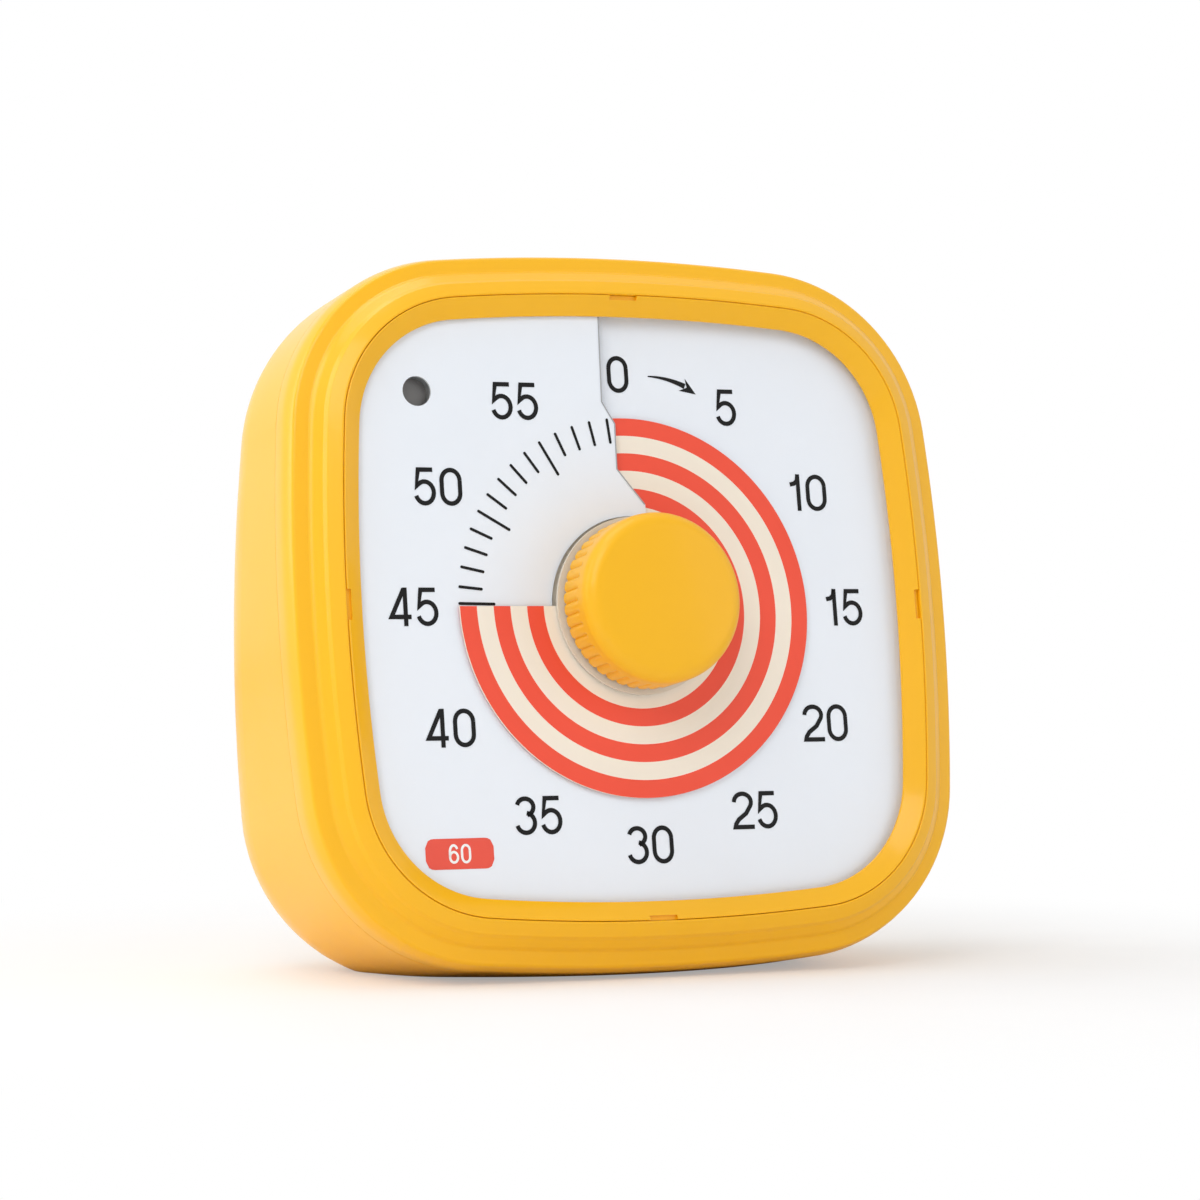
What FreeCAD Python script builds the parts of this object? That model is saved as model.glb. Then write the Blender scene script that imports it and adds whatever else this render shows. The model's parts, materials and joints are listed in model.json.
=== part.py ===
import FreeCAD, Part
import Sketcher
import math
import os

Vector = FreeCAD.Vector
Rotation = FreeCAD.Rotation
Placement = FreeCAD.Placement

# Visual countdown timer, in millimetres
# Every piece is drawn upright in the frame of the dial: X to the right, Z up along the dial and
# Y into the case, called depth here, with the knob's axis at X = Z = 0 and depth 0 at the dial.
# One placement then leans each piece back and stands the case on the floor.

SIZES = {
    # stance
    "lean": 8.8, "base_front": 7.184, "origin_in": 19.4,
    # rounded square of the case and its rim
    "case_half": 42.4, "side_radius": 250.4, "corner_radius": 21.4,
    "parting_depth": 5.0, "back_depth": 33.0, "back_lean": 8.8, "back_round": 15.0, "shell_wall": 2.0,
    "tongue_length": 2.0, "tongue_wall": 1.4, "joint_clearance": 0.1,
    "rim_width": 5.55, "crest_rise": 2.75, "first_step_in": 3.85, "first_step_rise": 1.8,
    "second_step_in": 2.3, "second_step_rise": 0.45, "step_height": 0.55, "step_run": 0.35,
    "edge_in": 0.5, "edge_fall": 0.6, "side_start": 2.4,
    "shelf_depth": 3.1, "shelf_thickness": 1.5, "shelf_width": 5.85,
    "cut_reach": 10.0,
    # bezel ring
    "seam_clearance": 0.15, "bezel_width": 2.3, "bezel_back": 0.9, "bezel_lip": 0.3,
    "bezel_rise": 2.75, "notch_length": 3.6, "notch_width": 0.55,
    # dial sheet and striped disc, both turns of one shallow screw
    "screw_pitch": 1.2, "sheet_thickness": 0.3, "dial_hole_radius": 10.7,
    "disc_radius": 22.5, "shown_minutes": 45.0, "slit_gap": 0.12, "sheet_clearance": 0.5,
    "slit_top_x": -2.4, "slit_bend_x": -2.7, "slit_bend_z": 24.3, "slit_step_x": -1.2,
    "slit_step_z": 21.7, "slit_low_x": -1.3, "slit_low_z": 16.3, "slit_end_x": 2.0,
    "slit_end_z": 12.1,
    # backplate
    "plate_front": 1.65, "plate_lip": 0.7, "plate_lip_width": 2.6, "plate_clearance": 0.5,
    # knob, collar and shaft
    "shaft_radius": 2.0, "running_clearance": 0.05, "shaft_front": 7.4,
    "collar_radius": 10.5, "collar_front": 1.65, "collar_thickness": 0.4,
    "collar_tube_radius": 3.2, "collar_tube_back": 1.25,
    "knob_radius": 10.0, "knob_back": 2.3, "knob_front": 9.0, "knob_dome": 0.4,
    "knob_edge": 1.8, "knob_skirt_wall": 1.6, "knob_web": 2.2, "knob_boss_radius": 4.4,
    "flute_count": 44, "flute_radius": 0.45, "flute_sink": 0.22, "flute_front": 6.2,
    # lamp window
    "lamp_side_in": 16.3, "lamp_top_in": 17.3, "lamp_hole_radius": 1.75, "lamp_clearance": 0.1,
    "lamp_front": 0.9, "lamp_length": 2.2, "led_radius": 1.5, "led_length": 2.6, "led_clearance": 0.3,
    # movement
    "movement_half": 24.0, "movement_plate": 1.4, "pillar_radius": 1.8, "pillar_place": 21.0,
    "movement_clearance": 1.2, "gear_module": 0.4, "main_teeth": 60, "third_pinion_teeth": 12,
    "third_teeth": 48, "rotor_teeth": 8, "wheel_thickness": 0.8, "mesh_clearance": 0.12,
    "main_wheel_in": 1.7, "third_wheel_depth": 6.2, "pinion_lap": 0.3, "arbor_gap": 0.3, "arbor_radius": 0.6,
    "rotor_radius": 2.6, "rotor_length": 2.4, "rotor_depth": 7.5,
    "cam_radius": 6.0, "cam_thickness": 1.0, "cam_depth": 5.0, "cam_notch": 1.2, "cam_fit": 0.02,
    "spring_radius": 4.6, "spring_sheet": 0.25,
    "coil_radius": 3.0, "coil_length": 16.0, "coil_depth": 8.4, "coil_x": -17.0,
    "core_radius": 1.0, "stator_sheet": 0.8, "stator_depth": 8.0, "stator_low": 10.5,
    "leaf_sheet": 0.25, "leaf_length": 12.0,
    # power
    "cell_radius": 7.1, "cell_length": 49.2, "cell_nub_radius": 2.7, "cell_nub": 1.3,
    "cell_z": -14.0, "cell_door_gap": 0.5, "cell_floor_gap": 0.2, "cell_side_gap": 0.4,
    "spring_room": 3.8, "bay_wall": 1.1,
    "door_lap": 1.1, "door_side_lap": 0.5, "door_recess": 0.8, "door_thickness": 1.7,
    "door_clearance": 0.3, "grip_count": 3, "grip_in": 9.0, "grip_step": 2.0, "grip_width": 0.8,
    "grip_half_height": 4.0, "grip_sink": 0.5,
    "contact_sheet": 0.3, "spring_wire": 0.9, "spring_turn_radius": 3.2, "spring_turns": 2.0,
    # sound
    "buzzer_gap": 0.2, "board_thickness": 1.2, "board_half_width": 19.0, "board_bottom": 3.0,
    "board_top": 25.0, "buzzer_x": -8.0, "buzzer_z": 14.0, "buzzer_radius": 6.0,
    "buzzer_length": 3.0, "sound_hole_radius": 0.8, "sound_hole_ring": 3.6,
    "switch_x": 10.0, "switch_z": 14.0, "switch_half_length": 4.4, "switch_half_height": 2.0,
    "switch_body": 2.6, "slider_travel": 4.0, "slider_half_length": 1.3,
    "slider_half_height": 1.1, "slider_proud": 1.0, "slot_clearance": 0.25,
    # fasteners
    "screw_in": 13.8, "screw_radius": 1.2, "screw_head_radius": 2.1, "screw_head": 1.5,
    "boss_radius": 3.2, "boss_split": 12.0, "screw_seat": 2.5,
    "screw_tip_gap": 0.5, "post_radius": 2.0, "post_side_in": 2.5, "post_end_in": 3.0,
    "plate_screw_place": 15.5, "plate_screw_radius": 0.9, "plate_head_radius": 1.9,
    "plate_head": 0.6,
}

# Sizes that follow from the ones above, in the order in which they build on each other
DERIVED = {
    "axis_height": "=case_half * cos(lean * 1 deg) + base_front * sin(lean * 1 deg)",
    "sheet_inset": "=rim_width + sheet_clearance",
    "lamp_x": "=lamp_side_in - case_half",
    "lamp_z": "=case_half - lamp_top_in",
    "screw_place": "=case_half - screw_in",
    "door_front": "=back_depth - door_recess - door_thickness",
    "cell_depth": "=door_front - cell_door_gap - cell_radius",
    "bay_floor": "=cell_depth - cell_radius - cell_floor_gap",
    "bay_half_height": "=cell_radius + cell_side_gap",
    "bay_half_length": "=(cell_length + cell_nub + contact_sheet + spring_room) / 2",
    "door_half_length": "=bay_half_length + door_lap",
    "door_half_height": "=bay_half_height + door_side_lap",
    "shaft_end": "=bay_floor - bay_wall - movement_clearance",
    "pillar_length": "=shaft_end - 2 * movement_plate - shelf_depth",
    "main_wheel_depth": "=shaft_end - movement_plate - main_wheel_in",
    "board_depth": "=back_depth - shell_wall - buzzer_gap - buzzer_length - board_thickness",
}

doc = FreeCAD.newDocument("countdown_timer")
sheet = doc.addObject("Spreadsheet::Sheet", "sizes")
for row, (alias, value) in enumerate({**SIZES, **DERIVED}.items(), start=1):
    sheet.set("A%d" % row, alias)
    sheet.set("B%d" % row, str(value))
    sheet.setAlias("B%d" % row, alias)
doc.recompute()


def size(alias):
    return float(getattr(sheet, alias))


def value_of(expression):
    """The number that an expression over the sheet's aliases stands for."""
    number = sheet.evalExpression(expression)
    return float(getattr(number, "Value", number))


# Building blocks
parts = {}


def stand(x=0.0, depth=0.0, z=0.0, turn=None):
    """Placement of a piece drawn about (x, depth, z) of the dial's frame."""
    leaned = Placement(Vector(0, stand_back(), size("axis_height")), Rotation(Vector(1, 0, 0), -size("lean")))
    return leaned.multiply(Placement(Vector(x, depth, z), turn or Rotation()))


def stand_back():
    """Shift that sets the origin under the case, a set way ahead of its back."""
    return size("origin_in") - size("back_depth") * math.cos(math.radians(size("lean")))


def stand_in_back(x=0.0, depth=0.0, z=0.0, turn=None):
    """Placement of a piece that stands square to the back, which leans against the dial's plane."""
    back = size("back_depth")
    hinged = Placement(Vector(0, back, 0), Rotation(Vector(1, 0, 0), size("back_lean")))
    return stand().multiply(hinged).multiply(Placement(Vector(x, depth - back, z), turn or Rotation()))


def new_body(name):
    body = doc.addObject("PartDesign::Body", name)
    body.Label = name
    body.Placement = stand()
    parts[name] = body
    return body


def origin_plane(body, role):
    return [feature for feature in body.Origin.OriginFeatures if feature.Role == role][0]


def new_sketch(body, name, role="XZ_Plane", depth=None):
    """A sketch on an origin plane; one on the dial's plane may lie at a depth behind it."""
    sketch = body.newObject("Sketcher::SketchObject", name)
    sketch.AttachmentSupport = [(origin_plane(body, role), "")]
    sketch.MapMode = "FlatFace"
    if depth is not None:
        sketch.setExpression("AttachmentOffset.Base.z", "-(%s)" % depth)
    return sketch


def sketch_in_back(body, name, depth):
    """A sketch parallel to the back, which crosses its own depth at the knob's axis."""
    sketch = new_sketch(body, name)
    lean = "(sizes.back_lean * 1 deg)"
    behind = "(%s - sizes.back_depth)" % depth
    sketch.AttachmentOffset = Placement(Vector(), Rotation(Vector(1, 0, 0), size("back_lean")))
    sketch.setExpression("AttachmentOffset.Rotation.Angle", "sizes.back_lean * 1 deg")
    sketch.setExpression("AttachmentOffset.Base.y", "sin(%s) * %s" % (lean, behind))
    sketch.setExpression("AttachmentOffset.Base.z", "-sizes.back_depth - cos(%s) * %s" % (lean, behind))
    return sketch


def pin_point(sketch, geometry, point, x, y):
    """Ties a point of the sketch to two expressions over the sheet."""
    for kind, expression in (("DistanceX", x), ("DistanceY", y)):
        constraint = Sketcher.Constraint(kind, -1, 1, geometry, point, value_of(expression))
        index = sketch.addConstraint(constraint)
        sketch.setExpression("Constraints[%d]" % index, expression)


def draw_polygon(sketch, points):
    corners = [Vector(value_of(x), value_of(y), 0) for x, y in points]
    first = sketch.GeometryCount
    count = len(points)
    for index in range(count):
        sketch.addGeometry(Part.LineSegment(corners[index], corners[(index + 1) % count]), False)
    for index in range(count):
        following = first + (index + 1) % count
        sketch.addConstraint(Sketcher.Constraint("Coincident", first + index, 2, following, 1))
        pin_point(sketch, first + index, 1, *points[index])


def draw_rectangle(sketch, left, right, low, high):
    draw_polygon(sketch, [(left, low), (right, low), (right, high), (left, high)])


def draw_circle(sketch, x, y, radius):
    centre = Vector(value_of(x), value_of(y), 0)
    index = sketch.addGeometry(Part.Circle(centre, Vector(0, 0, 1), value_of(radius)), False)
    constraint = sketch.addConstraint(Sketcher.Constraint("Radius", index, value_of(radius)))
    sketch.setExpression("Constraints[%d]" % constraint, radius)
    if value_of(x) == 0 and value_of(y) == 0:
        sketch.addConstraint(Sketcher.Constraint("Coincident", index, 3, -1, 1))
    else:
        pin_point(sketch, index, 3, x, y)


def corner_centre(half, side, corner):
    """Distance of the corner arcs' centres from both axes, with the side arcs tangent to them."""
    offset = half - side
    reach = side - corner
    return (2 * offset + math.sqrt(4 * offset ** 2 - 8 * (offset ** 2 - reach ** 2))) / 4


def rounded_square_arcs(half, side, corner):
    """Side arc and corner arc of each quarter, clockwise from the top."""
    centre = corner_centre(half, side, corner)
    swing = math.atan2(centre, centre - half + side)
    upright = math.pi / 2
    arcs = []
    for quarter in range(4):
        turn = Rotation(Vector(0, 0, 1), -90 * quarter)
        start = -quarter * upright
        side_circle = Part.Circle(turn.multVec(Vector(0, half - side, 0)), Vector(0, 0, 1), side)
        corner_circle = Part.Circle(turn.multVec(Vector(centre, centre, 0)), Vector(0, 0, 1), corner)
        arcs.append(Part.ArcOfCircle(side_circle, start + upright - swing, start + upright + swing))
        arcs.append(Part.ArcOfCircle(corner_circle, start + swing, start + upright - swing))
    return arcs


def draw_rounded_square(sketch, inset):
    """The case's rounded square with bowed sides, drawn a distance inside its widest outline."""
    half_text = "sizes.case_half - (%s)" % inset
    side_text = "sizes.side_radius - (%s)" % inset
    corner_text = "sizes.corner_radius - (%s)" % inset
    half = value_of(half_text)
    side = value_of(side_text)
    corner = value_of(corner_text)
    first = sketch.GeometryCount
    for arc in rounded_square_arcs(half, side, corner):
        sketch.addGeometry(arc, False)
    for quarter in range(4):
        side_arc = first + 2 * quarter
        next_side = first + (2 * quarter + 2) % 8
        sketch.addConstraint(Sketcher.Constraint("Tangent", side_arc, 1, side_arc + 1, 2))
        sketch.addConstraint(Sketcher.Constraint("Tangent", side_arc + 1, 1, next_side, 2))
        if quarter:
            sketch.addConstraint(Sketcher.Constraint("Equal", first, side_arc))
            sketch.addConstraint(Sketcher.Constraint("Equal", first + 1, side_arc + 1))
    for quarter, axis in ((0, -2), (1, -1), (2, -2), (3, -1)):
        sketch.addConstraint(Sketcher.Constraint("PointOnObject", first + 2 * quarter, 3, axis))
    bow = "sizes.side_radius - sizes.case_half"
    named = (
        (Sketcher.Constraint("Radius", first, side), side_text),
        (Sketcher.Constraint("Radius", first + 1, corner), corner_text),
        (Sketcher.Constraint("DistanceY", first, 3, -1, 1, side - half), bow),
        (Sketcher.Constraint("DistanceX", first + 2, 3, -1, 1, side - half), bow),
        (Sketcher.Constraint("DistanceY", -1, 1, first + 4, 3, side - half), bow),
        (Sketcher.Constraint("DistanceX", -1, 1, first + 6, 3, side - half), bow),
    )
    for constraint, expression in named:
        index = sketch.addConstraint(constraint)
        sketch.setExpression("Constraints[%d]" % index, expression)


def pad(body, sketch, length, both_ways=False, outward=False):
    """Thickens a sketch into the case, or towards the viewer, or evenly both ways."""
    feature = body.newObject("PartDesign::Pad", sketch.Name + "_pad")
    feature.Profile = sketch
    feature.setExpression("Length", length)
    feature.Midplane = both_ways
    feature.Reversed = not (outward or both_ways)
    body.Tip = feature
    return feature


def pocket(body, sketch, length, both_ways=False, outward=False):
    """Cuts a sketch into the case, or towards the viewer, or evenly both ways."""
    before = solid_volume(body)
    feature = body.newObject("PartDesign::Pocket", sketch.Name + "_pocket")
    feature.Profile = sketch
    feature.setExpression("Length", length)
    feature.Midplane = both_ways
    feature.Reversed = outward
    body.Tip = feature
    doc.recompute()
    if not solid_volume(body) < before:
        raise RuntimeError(feature.Name + " cuts nothing")
    return feature


def solid_volume(body):
    doc.recompute()
    return body.Shape.Volume


def revolve(body, name, points, role="YZ_Plane"):
    """Turns a closed profile of (depth, radius) points about the first axis of its sketch."""
    sketch = new_sketch(body, name, role)
    draw_polygon(sketch, points)
    feature = body.newObject("PartDesign::Revolution", name + "_turn")
    feature.Profile = sketch
    feature.ReferenceAxis = (sketch, ["H_Axis"])
    feature.Angle = 360
    body.Tip = feature
    return feature


def round_pad(body, name, x, z, radius, depth, length, bore=None):
    """A straight round bar, or a tube where a bore is given, from a depth into the case."""
    sketch = new_sketch(body, name, depth=depth)
    draw_circle(sketch, x, z, radius)
    if bore:
        draw_circle(sketch, x, z, bore)
    return pad(body, sketch, length)


def polar(body, feature, sketch, count):
    pattern = body.newObject("PartDesign::PolarPattern", feature.Name + "_ring")
    pattern.Originals = [feature]
    pattern.Axis = (sketch, ["N_Axis"])
    pattern.Angle = 360
    pattern.setExpression("Occurrences", count)
    body.Tip = pattern
    return pattern


def sweep(body, name, points, inset="0"):
    """Carries a profile of (depth, height) points round the rounded square."""
    path = new_sketch(body, name + "_path", depth="0")
    draw_rounded_square(path, inset)
    profile = new_sketch(body, name + "_profile", "YZ_Plane")
    draw_polygon(profile, points)
    doc.recompute()
    feature = body.newObject("PartDesign::AdditivePipe", name)
    feature.Profile = profile
    feature.Spine = (path, [])
    feature.Mode = "Standard"
    body.Tip = feature
    return feature


def fillet(body, base, edges, radius):
    feature = body.newObject("PartDesign::Fillet", base.Name + "_round")
    feature.Base = (base, edges)
    feature.setExpression("Radius", radius)
    body.Tip = feature
    doc.recompute()
    return feature


def edges_of_back(feature):
    """Names of the edges round the flat back, the plane that faces furthest away from the dial."""
    lean = math.radians(size("back_lean"))
    behind = Vector(0, math.cos(lean), math.sin(lean))
    flats = [face for face in feature.Shape.Faces if isinstance(face.Surface, Part.Plane)]
    back = max(flats, key=lambda face: face.CenterOfMass.dot(behind))
    names = []
    for index, edge in enumerate(feature.Shape.Edges, start=1):
        if any(edge.isSame(side) for side in back.Edges):
            names.append("Edge%d" % index)
    return names


def solid_part(name, shape, place=None):
    """A sub-part whose shape no feature draws, placed like the rest."""
    piece = doc.addObject("Part::Feature", name)
    piece.Label = name
    piece.Shape = shape
    piece.Placement = (place or stand()).multiply(shape.Placement)
    parts[name] = piece
    return piece


CASE_TOP = "sizes.case_half"


# Front case: a stepped rim, a short side wall, a tongue for the joint and an inner shelf
def make_front_case():
    body = new_body("front_case")
    crest = CASE_TOP + " - sizes.rim_width"
    first_outer = CASE_TOP + " - sizes.first_step_in"
    second_outer = CASE_TOP + " - sizes.second_step_in"
    tongue_outer = CASE_TOP + " - sizes.shell_wall - sizes.joint_clearance"
    points = [
        ("-sizes.crest_rise", crest),
        ("-sizes.first_step_rise", first_outer),
        ("-sizes.first_step_rise + sizes.step_height", first_outer + " + sizes.step_run"),
        ("-sizes.second_step_rise", second_outer + " - sizes.step_run"),
        ("-sizes.second_step_rise + sizes.step_height", second_outer),
        ("sizes.edge_fall", CASE_TOP + " - sizes.edge_in"),
        ("sizes.side_start", CASE_TOP),
        ("sizes.parting_depth", CASE_TOP),
        ("sizes.parting_depth", tongue_outer),
        ("sizes.parting_depth + sizes.tongue_length", tongue_outer),
        ("sizes.parting_depth + sizes.tongue_length", tongue_outer + " - sizes.tongue_wall"),
        ("sizes.shelf_depth + sizes.shelf_thickness", tongue_outer + " - sizes.tongue_wall"),
        ("sizes.shelf_depth + sizes.shelf_thickness", crest + " - sizes.shelf_width"),
        ("sizes.shelf_depth", crest + " - sizes.shelf_width"),
        ("sizes.shelf_depth", crest),
    ]
    sweep(body, "front_rim", points)
    bosses = new_sketch(body, "front_bosses", depth="sizes.shelf_depth + sizes.shelf_thickness")
    for x, z in corner_places("sizes.screw_place"):
        draw_circle(bosses, x, z, "sizes.boss_radius")
    pad(body, bosses, "sizes.boss_split - sizes.shelf_depth - sizes.shelf_thickness")
    threads = new_sketch(body, "front_screw_holes", depth="sizes.shelf_depth + sizes.shelf_thickness")
    for x, z in corner_places("sizes.screw_place"):
        draw_circle(threads, x, z, "sizes.screw_radius")
    pocket(body, threads, "sizes.boss_split - sizes.shelf_depth - sizes.shelf_thickness")
    lamp = new_sketch(body, "lamp_space", depth="sizes.shelf_depth - sizes.led_clearance")
    draw_circle(lamp, "sizes.lamp_x", "sizes.lamp_z", "sizes.led_radius + sizes.led_clearance")
    pocket(body, lamp, "sizes.lamp_front + sizes.lamp_length + sizes.led_length"
           " - sizes.shelf_depth + 2 * sizes.led_clearance")


def corner_places(distance):
    """The four corners at a distance from both axes, as expressions."""
    low = "-(" + distance + ")"
    return ((distance, distance), (low, distance), (low, low), (distance, low))


# Rear case: the deep shell with an upright back, its flat base and what is moulded inside
def rounded_block(body, name, front, inset):
    """The case's outline as a block with a slanting, rounded back, a distance inside the outside."""
    outline = new_sketch(body, name + "_outline", depth=front)
    draw_rounded_square(outline, inset)
    lean = "(sizes.back_lean * 1 deg)"
    reach = "(sizes.case_half + sizes.cut_reach)"
    slant = reach + " * tan(%s)" % lean
    back = "sizes.back_depth - (%s) / cos(%s)" % (inset, lean)
    far = "sizes.back_depth + %s + sizes.cut_reach" % slant
    pad(body, outline, "%s - (%s)" % (far, front))
    behind = new_sketch(body, name + "_back", "YZ_Plane")
    draw_polygon(behind, [
        ("%s - %s" % (back, slant), reach),
        (far + " + 1", reach),
        (far + " + 1", "-" + reach),
        ("%s + %s" % (back, slant), "-" + reach),
    ])
    slanted = pocket(body, behind, "4 * " + reach, both_ways=True)
    return fillet(body, slanted, edges_of_back(slanted), "sizes.back_round - (%s)" % inset)


def cut_below(body, name, rise):
    """Removes all that lies lower than a plane parallel to the floor."""
    under = new_sketch(body, name, "YZ_Plane")
    front = "-sizes.cut_reach"
    rear = "2 * sizes.back_depth"
    draw_polygon(under, [
        (front, floor_text(front, rise)),
        (rear, floor_text(rear, rise)),
        (rear, "-2 * sizes.case_half"),
        (front, "-2 * sizes.case_half"),
    ])
    pocket(body, under, "4 * sizes.case_half", both_ways=True)


def make_rear_case():
    body = new_body("rear_case")
    rounded_block(body, "rear", "sizes.parting_depth", "0")
    cut_below(body, "base_cut", "0")

    hollow = doc.addObject("PartDesign::Body", "rear_hollow")
    rounded_block(hollow, "hollow", "sizes.parting_depth - 1", "sizes.shell_wall")
    cut_below(hollow, "base_slab", "sizes.shell_wall")
    bosses = new_sketch(hollow, "rear_bosses", depth="sizes.boss_split")
    for x, z in corner_places("sizes.screw_place"):
        draw_circle(bosses, x, z, "sizes.boss_radius")
    pocket(hollow, bosses, "sizes.back_depth * 2")
    bay = sketch_in_back(hollow, "bay_block", "(sizes.bay_floor - sizes.bay_wall)")
    bay_x = "(sizes.bay_half_length + sizes.bay_wall)"
    draw_rectangle(bay, "-" + bay_x, bay_x, "sizes.cell_z - sizes.bay_half_height - sizes.bay_wall",
                   "sizes.cell_z + sizes.bay_half_height + sizes.bay_wall")
    pocket(hollow, bay, "sizes.back_depth * 2")
    posts = sketch_in_back(hollow, "board_posts", "(sizes.board_depth + sizes.board_thickness)")
    post_x = "(sizes.board_half_width - sizes.post_side_in)"
    for x in (post_x, "-" + post_x):
        draw_circle(posts, x, "sizes.board_top - sizes.post_end_in", "sizes.post_radius")
        draw_circle(posts, x, "sizes.board_bottom + sizes.post_end_in", "sizes.post_radius")
    pocket(hollow, posts, "sizes.back_depth * 2")
    emptied = body.newObject("PartDesign::Boolean", "rear_emptied")
    emptied.setObjects([hollow])
    emptied.Type = "Cut"
    body.Tip = emptied
    doc.recompute()

    space = sketch_in_back(body, "bay_space", "sizes.bay_floor")
    draw_rectangle(space, "-sizes.bay_half_length", "sizes.bay_half_length",
                   "sizes.cell_z - sizes.bay_half_height", "sizes.cell_z + sizes.bay_half_height")
    pocket(body, space, "sizes.back_depth - sizes.bay_floor + 1")
    recess = sketch_in_back(body, "door_recess", "sizes.door_front")
    gap = " + sizes.door_clearance"
    draw_rectangle(recess, "-(sizes.door_half_length%s)" % gap, "sizes.door_half_length" + gap,
                   "sizes.cell_z - (sizes.door_half_height%s)" % gap,
                   "sizes.cell_z + sizes.door_half_height" + gap)
    pocket(body, recess, "sizes.back_depth - sizes.door_front + 1")

    shanks = new_sketch(body, "rear_screw_holes", depth="sizes.boss_split")
    heads = new_sketch(body, "rear_head_wells", depth="sizes.boss_split + sizes.screw_seat")
    for x, z in corner_places("sizes.screw_place"):
        draw_circle(shanks, x, z, "sizes.screw_radius + sizes.running_clearance")
        draw_circle(heads, x, z, "sizes.screw_head_radius + 2 * sizes.running_clearance")
    pocket(body, shanks, "sizes.screw_seat")
    pocket(body, heads, "sizes.back_depth * 2")

    skin = "sizes.back_depth - sizes.shell_wall - 1"
    slot = sketch_in_back(body, "slider_slot", "(%s)" % skin)
    reach = "sizes.slider_half_length + sizes.slider_travel / 2 + sizes.slot_clearance"
    draw_rectangle(slot, "sizes.switch_x - (%s)" % reach, "sizes.switch_x + " + reach,
                   "sizes.switch_z - sizes.slider_half_height - sizes.slot_clearance",
                   "sizes.switch_z + sizes.slider_half_height + sizes.slot_clearance")
    pocket(body, slot, "sizes.shell_wall + 2")
    sound = sketch_in_back(body, "sound_holes", "(%s)" % skin)
    draw_circle(sound, "sizes.buzzer_x", "sizes.buzzer_z", "sizes.sound_hole_radius")
    for step in range(6):
        angle = "%d deg" % (60 * step)
        draw_circle(sound, "sizes.buzzer_x + sizes.sound_hole_ring * cos(%s)" % angle,
                    "sizes.buzzer_z + sizes.sound_hole_ring * sin(%s)" % angle,
                    "sizes.sound_hole_radius")
    pocket(body, sound, "sizes.shell_wall + 2")


def floor_text(depth, rise="0"):
    """Height of the floor, or of a plane a rise above it, at a depth, as an expression."""
    lean = "(sizes.lean * 1 deg)"
    return "(%s - sizes.axis_height + (%s) * sin(%s)) / cos(%s)" % (rise, depth, lean, lean)


# Bezel ring: slopes from the seam down to the dial, with a pry notch in the middle of each side
def make_bezel_ring():
    body = new_body("bezel_ring")
    outer = CASE_TOP + " - sizes.rim_width - sizes.seam_clearance"
    inner = outer + " - sizes.bezel_width"
    sweep(body, "bezel_band", [
        ("-sizes.bezel_back", inner),
        ("-sizes.bezel_back - sizes.bezel_lip", inner),
        ("-sizes.bezel_rise", outer),
        ("-sizes.bezel_back", outer),
    ])
    doc.recompute()
    notches = new_sketch(body, "pry_notches", depth="-sizes.bezel_rise - 1")
    floor = outer + " - sizes.notch_width"
    beyond = outer + " + 1"
    across = "sizes.notch_length / 2"
    for sign in ("", "-"):
        near, far = ((floor, beyond) if not sign else ("-(%s)" % beyond, "-(%s)" % floor))
        draw_rectangle(notches, near, far, "-" + across, across)
        draw_rectangle(notches, "-" + across, across, near, far)
    pocket(body, notches, "1.8")


# Dial sheet and striped disc
def helicoid(start_degrees, end_degrees, inner_radius, outer_radius):
    """A thin sheet that rises towards the viewer by the screw pitch in one turn clockwise.

    Its middle stands at depth 0 at twelve o'clock.
    """
    pitch = size("screw_pitch")
    thickness = size("sheet_thickness")
    turns = (end_degrees - start_degrees) / 360.0
    edges = []
    for radius in (inner_radius, outer_radius):
        edges.append(Part.makeLongHelix(pitch, pitch * turns, radius, 0, True))
    face = Part.makeRuledSurface(edges[0], edges[1])
    solid = face.extrude(Vector(0, 0, thickness))
    # the helix starts on +X and climbs along +Z; twelve o'clock is +Z of the dial's frame
    solid.translate(Vector(0, 0, -thickness / 2 + pitch * start_degrees / 360.0))
    turned = Placement(Vector(), Rotation(Vector(0, 0, 1), 90.0 - start_degrees))
    upright = Placement(Vector(), Rotation(Vector(1, 0, 0), 90.0))
    solid.Placement = upright.multiply(turned).multiply(solid.Placement)
    return solid


def prism(points, low_depth, high_depth):
    """A straight prism over a closed outline of (x, z) points, between two depths."""
    corners = [Vector(x, low_depth, z) for x, z in points]
    face = Part.Face(Part.makePolygon(corners + corners[:1]))
    return face.extrude(Vector(0, high_depth - low_depth, 0))


def upright_cylinder(x, z, radius, low_depth, high_depth):
    return Part.makeCylinder(radius, high_depth - low_depth, Vector(x, low_depth, z), Vector(0, 1, 0))


def rounded_square_prism(inset, low_depth, high_depth):
    arcs = rounded_square_arcs(size("case_half") - inset, size("side_radius") - inset,
                               size("corner_radius") - inset)
    wire = Part.Wire(Part.__sortEdges__([arc.toShape() for arc in arcs]))
    solid = Part.Face(wire).extrude(Vector(0, 0, high_depth - low_depth))
    solid.translate(Vector(0, 0, -high_depth))
    solid.rotate(Vector(), Vector(1, 0, 0), 90)
    return solid


def slit_line(shift):
    """The stepped cut from the dial's top edge to its hole, moved sideways."""
    top = size("case_half") * 2
    line = [
        (size("slit_top_x"), top),
        (size("slit_top_x"), size("case_half") - size("rim_width")),
        (size("slit_bend_x"), size("slit_bend_z")),
        (size("slit_step_x"), size("slit_step_z")),
        (size("slit_low_x"), size("slit_low_z")),
        (size("slit_end_x"), size("slit_end_z")),
        (size("slit_end_x"), 0.0),
    ]
    return [(x + shift, z) for x, z in line]


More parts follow.
